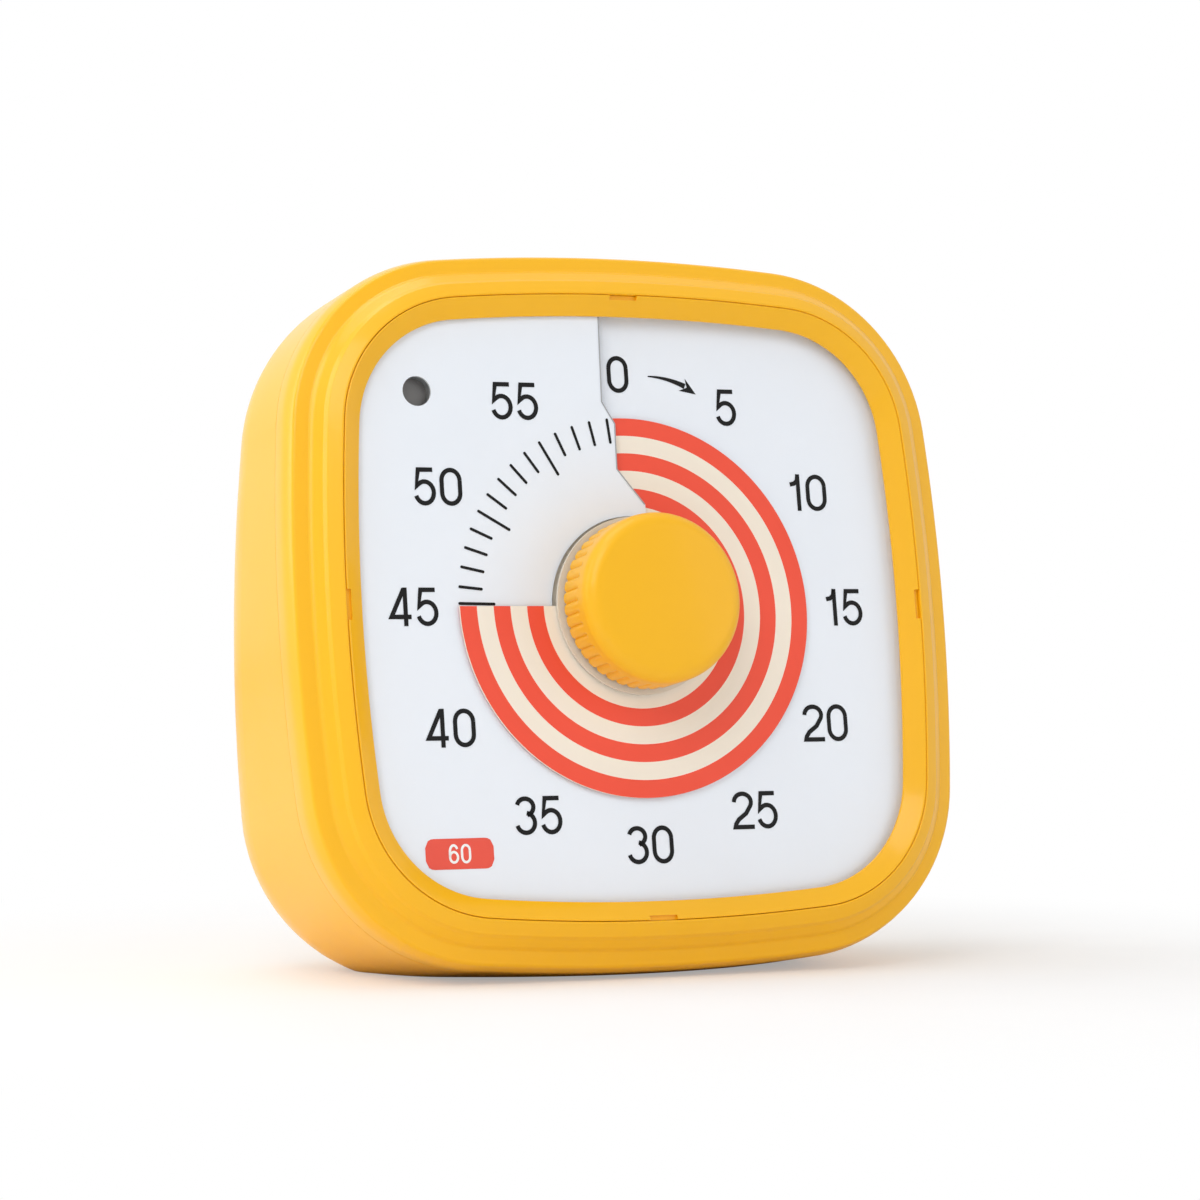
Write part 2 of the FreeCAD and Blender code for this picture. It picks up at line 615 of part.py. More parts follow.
def make_dial_sheet():
    """The white dial winds from its low lip, right of the slit, round to its high lip."""
    reach = size("case_half") * 2
    inner = size("dial_hole_radius") / 2
    lap = 25.0
    pitch = size("screw_pitch")
    low_side = slit_line(size("slit_gap") / 2) + [(reach, 0.0), (reach, reach)]
    high_side = slit_line(-size("slit_gap") / 2) + [(-reach, 0.0), (-reach, reach)]
    middle = helicoid(lap, 360 - lap, inner, reach)
    low_lip = helicoid(-lap, lap, inner, reach).common(prism(low_side, -reach, reach))
    high_lip = helicoid(360 - lap, 360 + lap, inner, reach).common(prism(high_side, -reach, reach))
    dial = middle.fuse([low_lip, high_lip])
    dial.translate(Vector(0, pitch / 2, 0))
    dial = dial.common(rounded_square_prism(size("sheet_inset"), -2 * pitch, 2 * pitch))
    dial = dial.cut(upright_cylinder(0, 0, size("dial_hole_radius"), -reach, reach))
    dial = dial.cut(upright_cylinder(size("lamp_x"), size("lamp_z"), size("lamp_hole_radius"), -reach, reach))
    solid_part("dial_sheet", dial.Solids[0])


def make_striped_disc():
    """The disc winds through the dial's slit, with its leading edge at the minutes shown."""
    lead = 6.0 * size("shown_minutes")
    slack = 1.0
    disc = helicoid(lead - 360 + slack, lead, size("collar_tube_radius"), size("disc_radius"))
    solid_part("striped_disc", disc)


def make_disc_collar():
    body = new_body("disc_collar")
    front = "-sizes.collar_front"
    flange_back = "-sizes.collar_front + sizes.collar_thickness"
    bore = "sizes.shaft_radius + sizes.running_clearance"
    revolve(body, "collar", [
        (front, bore),
        (front, "sizes.collar_radius"),
        (flange_back, "sizes.collar_radius"),
        (flange_back, "sizes.collar_tube_radius"),
        ("sizes.collar_tube_back", "sizes.collar_tube_radius"),
        ("sizes.collar_tube_back", bore),
    ])


# Knob and the shaft that it turns
def make_knob():
    body = new_body("knob")
    front = "-sizes.knob_front"
    back = "-sizes.knob_back"
    web = front + " + sizes.knob_web"
    skirt = "sizes.knob_radius - sizes.knob_skirt_wall"
    edge = "sizes.knob_radius - sizes.knob_edge"
    revolve(body, "knob_form", [
        (front + " - sizes.knob_dome", "0"),
        (front + " - sizes.knob_dome * 0.75", "sizes.knob_radius * 0.5"),
        (front, edge),
        (front + " + sizes.knob_edge * 0.293", "sizes.knob_radius - sizes.knob_edge * 0.293"),
        (front + " + sizes.knob_edge", "sizes.knob_radius"),
        (back, "sizes.knob_radius"),
        (back, skirt),
        (web, skirt),
        (web, "sizes.knob_boss_radius"),
        (back, "sizes.knob_boss_radius"),
        (back, "sizes.shaft_radius"),
        ("-sizes.shaft_front", "sizes.shaft_radius"),
        ("-sizes.shaft_front", "0"),
    ])
    flute = new_sketch(body, "flute", depth="-sizes.flute_front")
    draw_circle(flute, "0", "sizes.knob_radius + sizes.flute_radius - sizes.flute_sink", "sizes.flute_radius")
    cut = pocket(body, flute, "sizes.flute_front - sizes.knob_back + 1")
    polar(body, cut, flute, "sizes.flute_count")


def make_main_shaft():
    body = new_body("main_shaft")
    shoulder = "sizes.main_wheel_depth - sizes.spring_sheet"
    revolve(body, "shaft", [
        ("-sizes.shaft_front", "0"),
        ("-sizes.shaft_front", "sizes.shaft_radius"),
        (shoulder + " - 0.5", "sizes.shaft_radius"),
        (shoulder + " - 0.5", "sizes.shaft_radius + 1.2"),
        (shoulder, "sizes.shaft_radius + 1.2"),
        (shoulder, "sizes.shaft_radius"),
        ("sizes.shaft_end", "sizes.shaft_radius"),
        ("sizes.shaft_end", "0"),
    ])


def make_zero_cam():
    body = new_body("zero_cam")
    blank = round_pad(body, "cam", "0", "0", "sizes.cam_radius", "sizes.cam_depth",
                      "sizes.cam_thickness", "sizes.shaft_radius + sizes.cam_fit")
    notch = new_sketch(body, "cam_notch", depth="sizes.cam_depth - 1")
    draw_circle(notch, "0", "sizes.cam_radius", "sizes.cam_notch")
    pocket(body, notch, "sizes.cam_thickness + 2")
    return blank


def make_clutch_spring():
    body = new_body("clutch_spring")
    back = "sizes.main_wheel_depth"
    front = back + " - sizes.spring_sheet"
    revolve(body, "washer", [
        (front, "sizes.shaft_radius"),
        (front, "sizes.spring_radius"),
        (back, "sizes.spring_radius"),
        (back, "sizes.shaft_radius"),
    ])


# Backplate behind the disc, with a lip for the dial, a well for the lamp and screw wells
def make_backplate():
    body = new_body("backplate")
    outline = new_sketch(body, "backplate_outline", depth="sizes.plate_front")
    inset = "sizes.rim_width + sizes.plate_clearance"
    draw_rounded_square(outline, inset)
    pad(body, outline, "sizes.shelf_depth - sizes.plate_front")
    lip = new_sketch(body, "backplate_lip", depth="sizes.plate_front - sizes.plate_lip")
    draw_rounded_square(lip, inset)
    draw_rounded_square(lip, inset + " + sizes.plate_lip_width")
    pad(body, lip, "sizes.plate_lip")
    holes = new_sketch(body, "backplate_holes", depth="sizes.plate_front - 1")
    draw_circle(holes, "0", "0", "sizes.collar_tube_radius + 0.4")
    draw_circle(holes, "sizes.lamp_x", "sizes.lamp_z", "sizes.lamp_hole_radius + sizes.lamp_clearance")
    for x, z in PLATE_SCREWS:
        draw_circle(holes, x, z, "sizes.plate_screw_radius")
    pocket(body, holes, "sizes.shelf_depth - sizes.plate_front + 2")
    wells = new_sketch(body, "backplate_wells", depth="sizes.plate_front - 1")
    for x, z in PLATE_SCREWS:
        draw_circle(wells, x, z, "sizes.plate_head_radius + sizes.running_clearance")
    pocket(body, wells, "1 + sizes.plate_head")


PLATE_SCREWS = (
    ("sizes.plate_screw_place", "-sizes.plate_screw_place"),
    ("-sizes.plate_screw_place", "-sizes.plate_screw_place"),
    ("sizes.plate_screw_place", "sizes.plate_screw_place"),
)


def make_plate_screws():
    body = new_body("plate_screws")
    body.AllowCompound = True
    heads = new_sketch(body, "plate_screw_heads", depth="sizes.plate_front")
    shanks = new_sketch(body, "plate_screw_shanks", depth="sizes.plate_front + sizes.plate_head")
    for x, z in PLATE_SCREWS:
        draw_circle(heads, x, z, "sizes.plate_head_radius")
        draw_circle(shanks, x, z, "sizes.plate_screw_radius")
    pad(body, heads, "sizes.plate_head")
    pad(body, shanks, "sizes.shelf_depth + sizes.movement_plate - sizes.plate_front - sizes.plate_head")


def make_lamp_lens():
    body = new_body("lamp_lens")
    round_pad(body, "lens", "sizes.lamp_x", "sizes.lamp_z", "sizes.lamp_hole_radius",
              "sizes.lamp_front", "sizes.lamp_length")


def make_indicator_lamp():
    body = new_body("indicator_lamp")
    round_pad(body, "lamp", "sizes.lamp_x", "sizes.lamp_z", "sizes.led_radius",
              "sizes.lamp_front + sizes.lamp_length", "sizes.led_length")


# Movement: two plates on pillars, a friction-driven wheel, its train and the stepping motor
def third_wheel_z():
    return "(sizes.main_teeth + sizes.third_pinion_teeth) * sizes.gear_module / 2 + sizes.mesh_clearance"


def rotor_x():
    return "-((sizes.third_teeth + sizes.rotor_teeth) * sizes.gear_module / 2 + sizes.mesh_clearance)"


def make_movement_plate(name, depth):
    body = new_body(name)
    outline = new_sketch(body, name + "_outline", depth=depth)
    half = "sizes.movement_half"
    draw_rectangle(outline, "-" + half, half, "-" + half, half)
    draw_circle(outline, "0", "0", "sizes.shaft_radius + sizes.running_clearance")
    pivot = "sizes.arbor_radius + sizes.running_clearance"
    draw_circle(outline, "0", third_wheel_z(), pivot)
    draw_circle(outline, rotor_x(), third_wheel_z(), pivot)
    if name == "movement_front_plate":
        for x, z in PLATE_SCREWS:
            draw_circle(outline, x, z, "sizes.plate_screw_radius")
    pad(body, outline, "sizes.movement_plate")


def make_pillars():
    body = new_body("movement_pillars")
    body.AllowCompound = True
    sketch = new_sketch(body, "pillars", depth="sizes.shelf_depth + sizes.movement_plate")
    for x, z in corner_places("sizes.pillar_place"):
        draw_circle(sketch, x, z, "sizes.pillar_radius")
    pad(body, sketch, "sizes.pillar_length")


def add_teeth(body, name, teeth, depth, thickness):
    """A toothed disc: a root disc, one tooth and the ring of its copies."""
    pitch_radius = "%s * sizes.gear_module / 2" % teeth
    root = pitch_radius + " - 1.2 * sizes.gear_module"
    tip = pitch_radius + " + 0.8 * sizes.gear_module"
    blank = new_sketch(body, name + "_root", depth=depth)
    draw_circle(blank, "0", "0", root)
    pad(body, blank, thickness)
    tooth = new_sketch(body, name + "_tooth", depth=depth)
    wide = "0.5 * sizes.gear_module"
    narrow = "0.22 * sizes.gear_module"
    below = root + " - 0.3 * sizes.gear_module"
    draw_polygon(tooth, [("-" + wide, below), ("-" + narrow, tip), (narrow, tip), (wide, below)])
    one = pad(body, tooth, thickness)
    polar(body, one, tooth, teeth)


def make_main_wheel():
    body = new_body("main_wheel")
    add_teeth(body, "main", "sizes.main_teeth", "sizes.main_wheel_depth", "sizes.wheel_thickness")
    bore = new_sketch(body, "main_bore", depth="sizes.main_wheel_depth - 1")
    draw_circle(bore, "0", "0", "sizes.shaft_radius + sizes.running_clearance")
    pocket(body, bore, "sizes.wheel_thickness + 2")


def make_third_wheel():
    """Drawn about its own axis with a tooth upright, and turned half a tooth into mesh."""
    body = new_body("third_wheel")
    add_teeth(body, "third", "sizes.third_teeth", "sizes.third_wheel_depth", "sizes.wheel_thickness")
    add_teeth(body, "third_pinion", "sizes.third_pinion_teeth",
              "sizes.main_wheel_depth - sizes.pinion_lap", "sizes.wheel_thickness + 2 * sizes.pinion_lap")
    add_arbor(body, "third_arbor")
    turn = Rotation(Vector(0, 1, 0), 180 / size("third_pinion_teeth"))
    body.Placement = stand(0, 0, value_of(third_wheel_z()), turn)


def add_arbor(body, name):
    sketch = new_sketch(body, name, depth="sizes.shelf_depth + sizes.arbor_gap")
    draw_circle(sketch, "0", "0", "sizes.arbor_radius")
    pad(body, sketch, "2 * sizes.movement_plate + sizes.pillar_length - 2 * sizes.arbor_gap")


def make_rotor():
    body = new_body("rotor")
    add_teeth(body, "rotor_pinion", "sizes.rotor_teeth",
              "sizes.third_wheel_depth - sizes.pinion_lap", "sizes.wheel_thickness + 2 * sizes.pinion_lap")
    magnet = new_sketch(body, "rotor_magnet", depth="sizes.rotor_depth")
    draw_circle(magnet, "0", "0", "sizes.rotor_radius")
    pad(body, magnet, "sizes.rotor_length")
    add_arbor(body, "rotor_arbor")
    third_turn = 180 / size("third_pinion_teeth")
    tooth_step = 360 / size("third_teeth")
    offset = (90 - third_turn) % tooth_step
    into_mesh = 90 + 180 / size("rotor_teeth") + offset * size("third_teeth") / size("rotor_teeth")
    turn = Rotation(Vector(0, 1, 0), into_mesh)
    body.Placement = stand(value_of(rotor_x()), 0, value_of(third_wheel_z()), turn)


def make_stator():
    body = new_body("stator")
    sketch = new_sketch(body, "stator_sheet", depth="sizes.stator_depth")
    draw_rectangle(sketch, "sizes.coil_x - 4", rotor_x() + " + sizes.rotor_radius + 1.4",
                   "sizes.stator_low", third_wheel_z() + " + sizes.rotor_radius + 1.6")
    draw_circle(sketch, rotor_x(), third_wheel_z(), "sizes.rotor_radius + 0.4")
    pad(body, sketch, "sizes.stator_sheet")


def make_coil():
    bobbin = new_body("motor_coil")
    revolve(bobbin, "winding", [
        ("0", "sizes.core_radius"),
        ("0", "sizes.coil_radius"),
        ("0.8", "sizes.coil_radius"),
        ("0.8", "sizes.coil_radius - 0.5"),
        ("sizes.coil_length - 0.8", "sizes.coil_radius - 0.5"),
        ("sizes.coil_length - 0.8", "sizes.coil_radius"),
        ("sizes.coil_length", "sizes.coil_radius"),
        ("sizes.coil_length", "sizes.core_radius"),
    ])
    upright = Rotation(Vector(1, 0, 0), 90)
    low = -size("coil_length") / 2
    bobbin.Placement = stand(size("coil_x"), size("coil_depth"), low, upright)
    core = new_body("coil_core")
    revolve(core, "core", [
        ("-1.5", "0"),
        ("-1.5", "sizes.core_radius"),
        ("sizes.coil_length / 2 + sizes.stator_low", "sizes.core_radius"),
        ("sizes.coil_length / 2 + sizes.stator_low", "0"),
    ])
    core.Placement = stand(size("coil_x"), size("coil_depth"), low, upright)


def make_alarm_contact():
    body = new_body("alarm_contact")
    sketch = new_sketch(body, "contact_leaf", depth="sizes.shelf_depth + sizes.movement_plate")
    near = "sizes.cam_radius + 0.1"
    draw_rectangle(sketch, near, near + " + sizes.leaf_sheet", "-sizes.leaf_length", "2")
    pad(body, sketch, "sizes.cam_depth + sizes.cam_thickness - sizes.shelf_depth - sizes.movement_plate")


# Power: one round cell, its two contacts and the door of the bay
def make_cell():
    body = new_body("battery")
    end = "sizes.cell_length"
    revolve(body, "cell", [
        ("0", "0"),
        ("0", "sizes.cell_radius - 0.6"),
        ("0.6", "sizes.cell_radius"),
        (end + " - 0.6", "sizes.cell_radius"),
        (end, "sizes.cell_radius - 0.6"),
        (end, "sizes.cell_nub_radius"),
        (end + " + sizes.cell_nub", "sizes.cell_nub_radius"),
        (end + " + sizes.cell_nub", "0"),
    ])
    along = Rotation(Vector(0, 0, 1), -90)
    body.Placement = stand_in_back(cell_start(), size("cell_depth"), size("cell_z"), along)


def cell_start():
    """Where the cell's flat end stands, with its nub against the far contact."""
    return size("bay_half_length") - size("contact_sheet") - size("cell_nub") - size("cell_length")


def make_battery_contacts():
    plate = new_body("battery_contact")
    sketch = new_sketch(plate, "contact_plate", depth="sizes.cell_depth - 4")
    far = "sizes.bay_half_length"
    draw_rectangle(sketch, far + " - sizes.contact_sheet", far, "sizes.cell_z - 4", "sizes.cell_z + 4")
    pad(plate, sketch, "8")
    plate.Placement = stand_in_back()
    wire = size("spring_wire")
    start = -size("bay_half_length")
    length = cell_start() - start
    pitch = (length - wire) / size("spring_turns")
    path = Part.makeHelix(pitch, length - wire, size("spring_turn_radius"))
    ring = Part.Circle(Vector(size("spring_turn_radius"), 0, 0), Vector(0, 1, 0), wire / 2)
    coil = Part.Wire(path).makePipeShell([Part.Wire(ring.toShape())], True, True)
    coil.rotate(Vector(), Vector(0, 1, 0), 90)
    coil.translate(Vector(wire / 2, 0, 0))
    solid_part("battery_spring", coil, stand_in_back(start, size("cell_depth"), size("cell_z")))


def make_battery_door():
    """A flat door whose left edge is a round barrel, on which it swings."""
    body = new_body("battery_door")
    body.Placement = stand_in_back()
    barrel_radius = "sizes.door_thickness / 2"
    barrel_x = "-(sizes.door_half_length - %s)" % barrel_radius
    low = "sizes.cell_z - sizes.door_half_height"
    high = "sizes.cell_z + sizes.door_half_height"
    sketch = new_sketch(body, "door_outline", depth="sizes.door_front")
    draw_rectangle(sketch, barrel_x, "sizes.door_half_length", low, high)
    pad(body, sketch, "sizes.door_thickness")
    barrel = new_sketch(body, "door_barrel", "XY_Plane")
    barrel.setExpression("AttachmentOffset.Base.z", "sizes.cell_z")
    draw_circle(barrel, barrel_x, "sizes.door_front + " + barrel_radius, barrel_radius)
    pad(body, barrel, "2 * sizes.door_half_height", both_ways=True)
    surface = "sizes.door_front + sizes.door_thickness"
    grip = new_sketch(body, "door_grip", depth=surface + " - sizes.grip_sink")
    for step in range(int(size("grip_count"))):
        left = "sizes.door_half_length - sizes.grip_in + %d * sizes.grip_step" % step
        draw_rectangle(grip, left, left + " + sizes.grip_width",
                       "sizes.cell_z - sizes.grip_half_height", "sizes.cell_z + sizes.grip_half_height")
    pocket(body, grip, "2 * sizes.grip_sink")


# Sound: board, buzzer, volume switch and its slider
def make_circuit_board():
    body = new_body("circuit_board")
    body.Placement = stand_in_back()
    sketch = new_sketch(body, "board_outline", depth="sizes.board_depth")
    half = "sizes.board_half_width"
    draw_rectangle(sketch, "-" + half, half, "sizes.board_bottom", "sizes.board_top")
    pad(body, sketch, "sizes.board_thickness")


def make_buzzer():
    body = new_body("buzzer")
    body.Placement = stand_in_back()
    round_pad(body, "buzzer_can", "sizes.buzzer_x", "sizes.buzzer_z", "sizes.buzzer_radius",
              "sizes.board_depth + sizes.board_thickness", "sizes.buzzer_length")


def make_volume_switch():
    body = new_body("volume_switch")
    body.Placement = stand_in_back()
    sketch = new_sketch(body, "switch_case", depth="sizes.board_depth + sizes.board_thickness")
    draw_rectangle(sketch, "sizes.switch_x - sizes.switch_half_length",
                   "sizes.switch_x + sizes.switch_half_length",
                   "sizes.switch_z - sizes.switch_half_height",
                   "sizes.switch_z + sizes.switch_half_height")
    pad(body, sketch, "sizes.switch_body")


def make_volume_slider():
    body = new_body("volume_slider")
    body.Placement = stand_in_back()
    depth = "sizes.board_depth + sizes.board_thickness + sizes.switch_body"
    sketch = new_sketch(body, "slider_stem", depth=depth)
    rest = "sizes.switch_x - sizes.slider_travel / 2"
    draw_rectangle(sketch, rest + " - sizes.slider_half_length", rest + " + sizes.slider_half_length",
                   "sizes.switch_z - sizes.slider_half_height",
                   "sizes.switch_z + sizes.slider_half_height")
    pad(body, sketch, "sizes.back_depth + sizes.slider_proud - (%s)" % depth)


def make_case_screws():
    body = new_body("case_screws")
    body.AllowCompound = True
    seat = "sizes.boss_split + sizes.screw_seat"
    shank_start = "sizes.shelf_depth + sizes.shelf_thickness + sizes.screw_tip_gap"
    shanks = new_sketch(body, "case_screw_shanks", depth=shank_start)
    heads = new_sketch(body, "case_screw_heads", depth=seat)
    for x, z in corner_places("sizes.screw_place"):
        draw_circle(shanks, x, z, "sizes.screw_radius")
        draw_circle(heads, x, z, "sizes.screw_head_radius")
    pad(body, shanks, "%s - (%s)" % (seat, shank_start))
    pad(body, heads, "sizes.screw_head")


make_front_case()
make_rear_case()
make_bezel_ring()
make_dial_sheet()
make_striped_disc()
make_disc_collar()
make_knob()
make_main_shaft()
make_zero_cam()
make_clutch_spring()
make_backplate()
make_plate_screws()
make_lamp_lens()
make_indicator_lamp()
make_movement_plate("movement_front_plate", "sizes.shelf_depth")
make_movement_plate("movement_rear_plate",
                    "sizes.shelf_depth + sizes.movement_plate + sizes.pillar_length")
make_pillars()
make_main_wheel()
make_third_wheel()
make_rotor()
make_stator()
make_coil()
make_alarm_contact()
make_cell()
make_battery_contacts()
make_battery_door()
make_circuit_board()
make_buzzer()
make_volume_switch()
make_volume_slider()
make_case_screws()


# Check and write
doc.recompute()
for item in doc.Objects:
    if "Invalid" in item.State or "Error" in item.State:
        raise RuntimeError("%s failed: %s" % (item.Name, item.State))
for name, piece in parts.items():
    if piece.Shape.isNull() or not piece.Shape.isValid() or not piece.Shape.Solids:
        raise RuntimeError(name + " has no sound shape")
os.makedirs("parts", exist_ok=True)
for name, piece in parts.items():
    piece.Shape.exportStep("parts/%s.step" % name)
    print("%-22s %10.2f mm3, %d solids" % (name, piece.Shape.Volume, len(piece.Shape.Solids)))
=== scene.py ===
import json
import math
from contextlib import contextmanager
import bmesh
import bpy
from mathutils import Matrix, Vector


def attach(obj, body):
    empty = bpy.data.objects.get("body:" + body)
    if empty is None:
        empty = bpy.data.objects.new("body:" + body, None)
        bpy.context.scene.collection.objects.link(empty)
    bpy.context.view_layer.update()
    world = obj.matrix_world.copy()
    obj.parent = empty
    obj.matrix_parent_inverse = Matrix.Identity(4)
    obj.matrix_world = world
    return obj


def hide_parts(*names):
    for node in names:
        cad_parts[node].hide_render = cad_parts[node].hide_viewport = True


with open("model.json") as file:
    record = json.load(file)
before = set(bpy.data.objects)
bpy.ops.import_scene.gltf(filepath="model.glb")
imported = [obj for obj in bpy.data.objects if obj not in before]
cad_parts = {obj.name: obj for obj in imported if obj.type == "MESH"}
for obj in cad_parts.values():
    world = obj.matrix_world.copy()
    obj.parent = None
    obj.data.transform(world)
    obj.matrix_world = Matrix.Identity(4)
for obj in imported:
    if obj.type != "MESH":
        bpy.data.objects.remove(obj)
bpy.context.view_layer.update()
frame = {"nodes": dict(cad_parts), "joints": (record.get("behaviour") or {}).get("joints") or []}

# Dial frame: X right, depth into the case, Z up along the dial, in millimetres
MM = 0.001
turn = [joint for joint in frame["joints"] if joint["name"] == "knob_turn"][0]
DIAL_CENTRE = Vector(turn["pos_m"])
INWARD = Vector(turn["axis"]).normalized()
RIGHT = Vector((1.0, 0.0, 0.0))
UP = RIGHT.cross(INWARD)


def place(x, depth, z):
    """A point of the dial frame in the object's frame, in metres."""
    return DIAL_CENTRE + (RIGHT * x + INWARD * depth + UP * z) * MM


# Sizes that the solids share, in millimetres
CASE_HALF = 42.4
SIDE_RADIUS = 250.4
CORNER_RADIUS = 21.4
RIM_WIDTH = 5.55
SEAM_SHOWN = 0.05
BEZEL_WIDTH = 2.3
NOTCH_HALF = 1.8
NOTCH_WIDTH = 0.55
NOTCH_FLOOR = -2.1
NOTCH_TOP = -2.38
CREST_DEPTH = -2.75
BEZEL_BACK = -0.9
BEZEL_LIP = -1.2
JOINT_CLEARANCE = 0.1
PARTING_DEPTH = 5.0
SHELL_WALL = 2.0
TONGUE_LENGTH = 2.0
TONGUE_WALL = 1.4
SHELF_DEPTH = 3.1
SHELF_THICKNESS = 1.5
SHELF_WIDTH = 5.85
SCREW_PITCH = 1.2
SHEET_THICKNESS = 0.3
DISC_RADIUS = 22.5
DISC_BORE = 3.2
SHOWN_MINUTES = 45.0
SLIT = ((-2.4, 40.0), (-2.4, 36.85), (-2.7, 24.3), (-1.2, 21.7), (-1.3, 16.3), (2.0, 12.1),
        (2.0, 0.0))
DEGREES_PER_MINUTE = 6.0
KNOB_RADIUS = 10.0
KNOB_FRONT = 9.0
KNOB_BACK = 2.3
KNOB_DOME = 0.4
KNOB_EDGE = 1.8
KNOB_SKIRT_INNER = 8.4
KNOB_WEB_DEPTH = 2.2
KNOB_BOSS_RADIUS = 4.4
SHAFT_RADIUS = 2.0
SHAFT_FRONT = 7.4


# Fineness of the meshes: steps along a stretch of the outline and along a corner, the share of
# an edge that a corner may take, and the angles in degrees from which an edge stays sharp
OUTLINE_STEPS = 24
CORNER_STEPS = 5
CORNER_SHARE = 0.45
RING_SHARPNESS = 35
KNOB_SHARPNESS = 50
DISC_SHARPNESS = 30
MERGE_DISTANCE = 1e-7
MARK_MERGE_DISTANCE = 1e-6
SHORTEST = 1e-9
LEAST_MITRE = 0.5
CAP_STEPS = 10


# Mesh building
@contextmanager
def editing(mesh):
    """Opens a mesh for changes and writes them back."""
    work = bmesh.new()
    work.from_mesh(mesh)
    yield work
    work.to_mesh(mesh)
    work.free()


def new_object(name, thing):
    """An object of the scene that holds a mesh, a lamp or a camera."""
    holder = bpy.data.objects.new(name, thing)
    bpy.context.scene.collection.objects.link(holder)
    return holder


def new_mesh_object(name, vertices, faces, *materials):
    mesh = bpy.data.meshes.new(name)
    mesh.from_pydata([tuple(vertex) for vertex in vertices], [], faces)
    for material in materials:
        mesh.materials.append(material)
    return new_object(name, mesh)


def new_piece(name, vertices, faces, body, *materials):
    """A smooth-shaded mesh that rides on a body."""
    piece = new_mesh_object(name, vertices, faces, *materials)
    piece.data.validate()
    with editing(piece.data) as work:
        bmesh.ops.recalc_face_normals(work, faces=work.faces)
    for polygon in piece.data.polygons:
        polygon.use_smooth = True
    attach(piece, body)
    return piece


def merge_points(piece):
    """Joins points that lie on each other and turns the faces outwards."""
    with editing(piece.data) as work:
        bmesh.ops.remove_doubles(work, verts=work.verts, dist=MERGE_DISTANCE)
        bmesh.ops.recalc_face_normals(work, faces=work.faces)


def sharpen(piece, degrees):
    """Keeps edges sharper than an angle crisp under smooth shading."""
    limit = math.radians(degrees)
    with editing(piece.data) as work:
        for edge in work.edges:
            if len(edge.link_faces) == 2:
                edge.smooth = edge.calc_face_angle(0.0) < limit


def rounded_outline(count):
    """Points and outward normals round the case's widest outline, clockwise from the top.

    The third value of each sample says whether it lies in a notch in the middle of a side.
    """
    offset = CASE_HALF - SIDE_RADIUS
    reach = SIDE_RADIUS - CORNER_RADIUS
    centre = (2 * offset + math.sqrt(4 * offset ** 2 - 8 * (offset ** 2 - reach ** 2))) / 4
    swing = math.atan2(centre, centre - offset)
    samples = []
    for quarter in range(4):
        turned = -quarter * math.pi / 2
        stretches = (
            ((0.0, offset), SIDE_RADIUS, math.pi / 2 + swing, math.pi / 2 - swing),
            ((centre, centre), CORNER_RADIUS, math.pi / 2 - swing, swing),
        )
        for (cx, cz), radius, start, end in stretches:
            angles = [(start + (end - start) * step / count, False) for step in range(count)]
            if radius == SIDE_RADIUS:
                first = math.acos(-NOTCH_HALF / radius)
                last = math.acos(NOTCH_HALF / radius)
                before = [entry for entry in angles if entry[0] > first]
                after = [entry for entry in angles if entry[0] < last]
                notch = [(first, False), (first, True), (last, True), (last, False)]
                angles = before + notch + after
            for angle, notched in angles:
                x = cx + radius * math.cos(angle)
                z = cz + radius * math.sin(angle)
                normal = spin(math.cos(angle), math.sin(angle), turned)
                samples.append((spin(x, z, turned), normal, notched))
    return samples


def spin(x, z, angle):
    """A point turned anticlockwise about the dial's centre."""
    return (x * math.cos(angle) - z * math.sin(angle), x * math.sin(angle) + z * math.cos(angle))


def rounded_corners(corners):
    """A closed profile of (depth, inset) points, each corner rounded by its own radius."""
    result = []
    count = len(corners)
    for index, (depth, inset, radius) in enumerate(corners):
        before = Vector(corners[index - 1][:2])
        after = Vector(corners[(index + 1) % count][:2])
        corner = Vector((depth, inset))
        if radius == 0:
            result.append(tuple(corner))
            continue
        to_before = before - corner
        to_after = after - corner
        reach = min(radius, CORNER_SHARE * to_before.length, CORNER_SHARE * to_after.length)
        first = corner + to_before.normalized() * reach
        last = corner + to_after.normalized() * reach
        for step in range(CORNER_STEPS + 1):
            t = step / CORNER_STEPS
            result.append(tuple(first * (1 - t) ** 2 + corner * 2 * t * (1 - t) + last * t ** 2))
    return result


def looped_piece(name, vertices, rings, body, material, sharp):
    """Joins closed profiles, one after the other, into a ring that closes on itself."""
    width = len(vertices) // rings
    faces = []
    for ring in range(rings):
        following = (ring + 1) % rings
        for step in range(width):
            onward = (step + 1) % width
            faces.append((ring * width + step, ring * width + onward,
                          following * width + onward, following * width + step))
    piece = new_piece(name, vertices, faces, body, material)
    merge_points(piece)
    sharpen(piece, sharp)
    return piece


def ring_of_profile(name, profile, body, material, notched_profile=None):
    """Carries a closed profile of (depth, inset) points round the case's outline."""
    samples = rounded_outline(OUTLINE_STEPS)
    vertices = []
    for (x, z), (nx, nz), notched in samples:
        for depth, inset in (notched_profile if notched and notched_profile else profile):
            vertices.append(place(x - nx * inset, depth, z - nz * inset))
    return looped_piece(name, vertices, len(samples), body, material, RING_SHARPNESS)


def turned_piece(name, profile, body, material, count, sharp, radius_at):
    """Turns a closed (depth, radius) profile about the knob's axis."""
    vertices = []
    for step in range(count):
        angle = 2 * math.pi * step / count
        for depth, radius in profile:
            reach = radius_at(depth, radius, angle)
            vertices.append(place(reach * math.sin(angle), depth, reach * math.cos(angle)))
    return looped_piece(name, vertices, count, body, material, sharp)


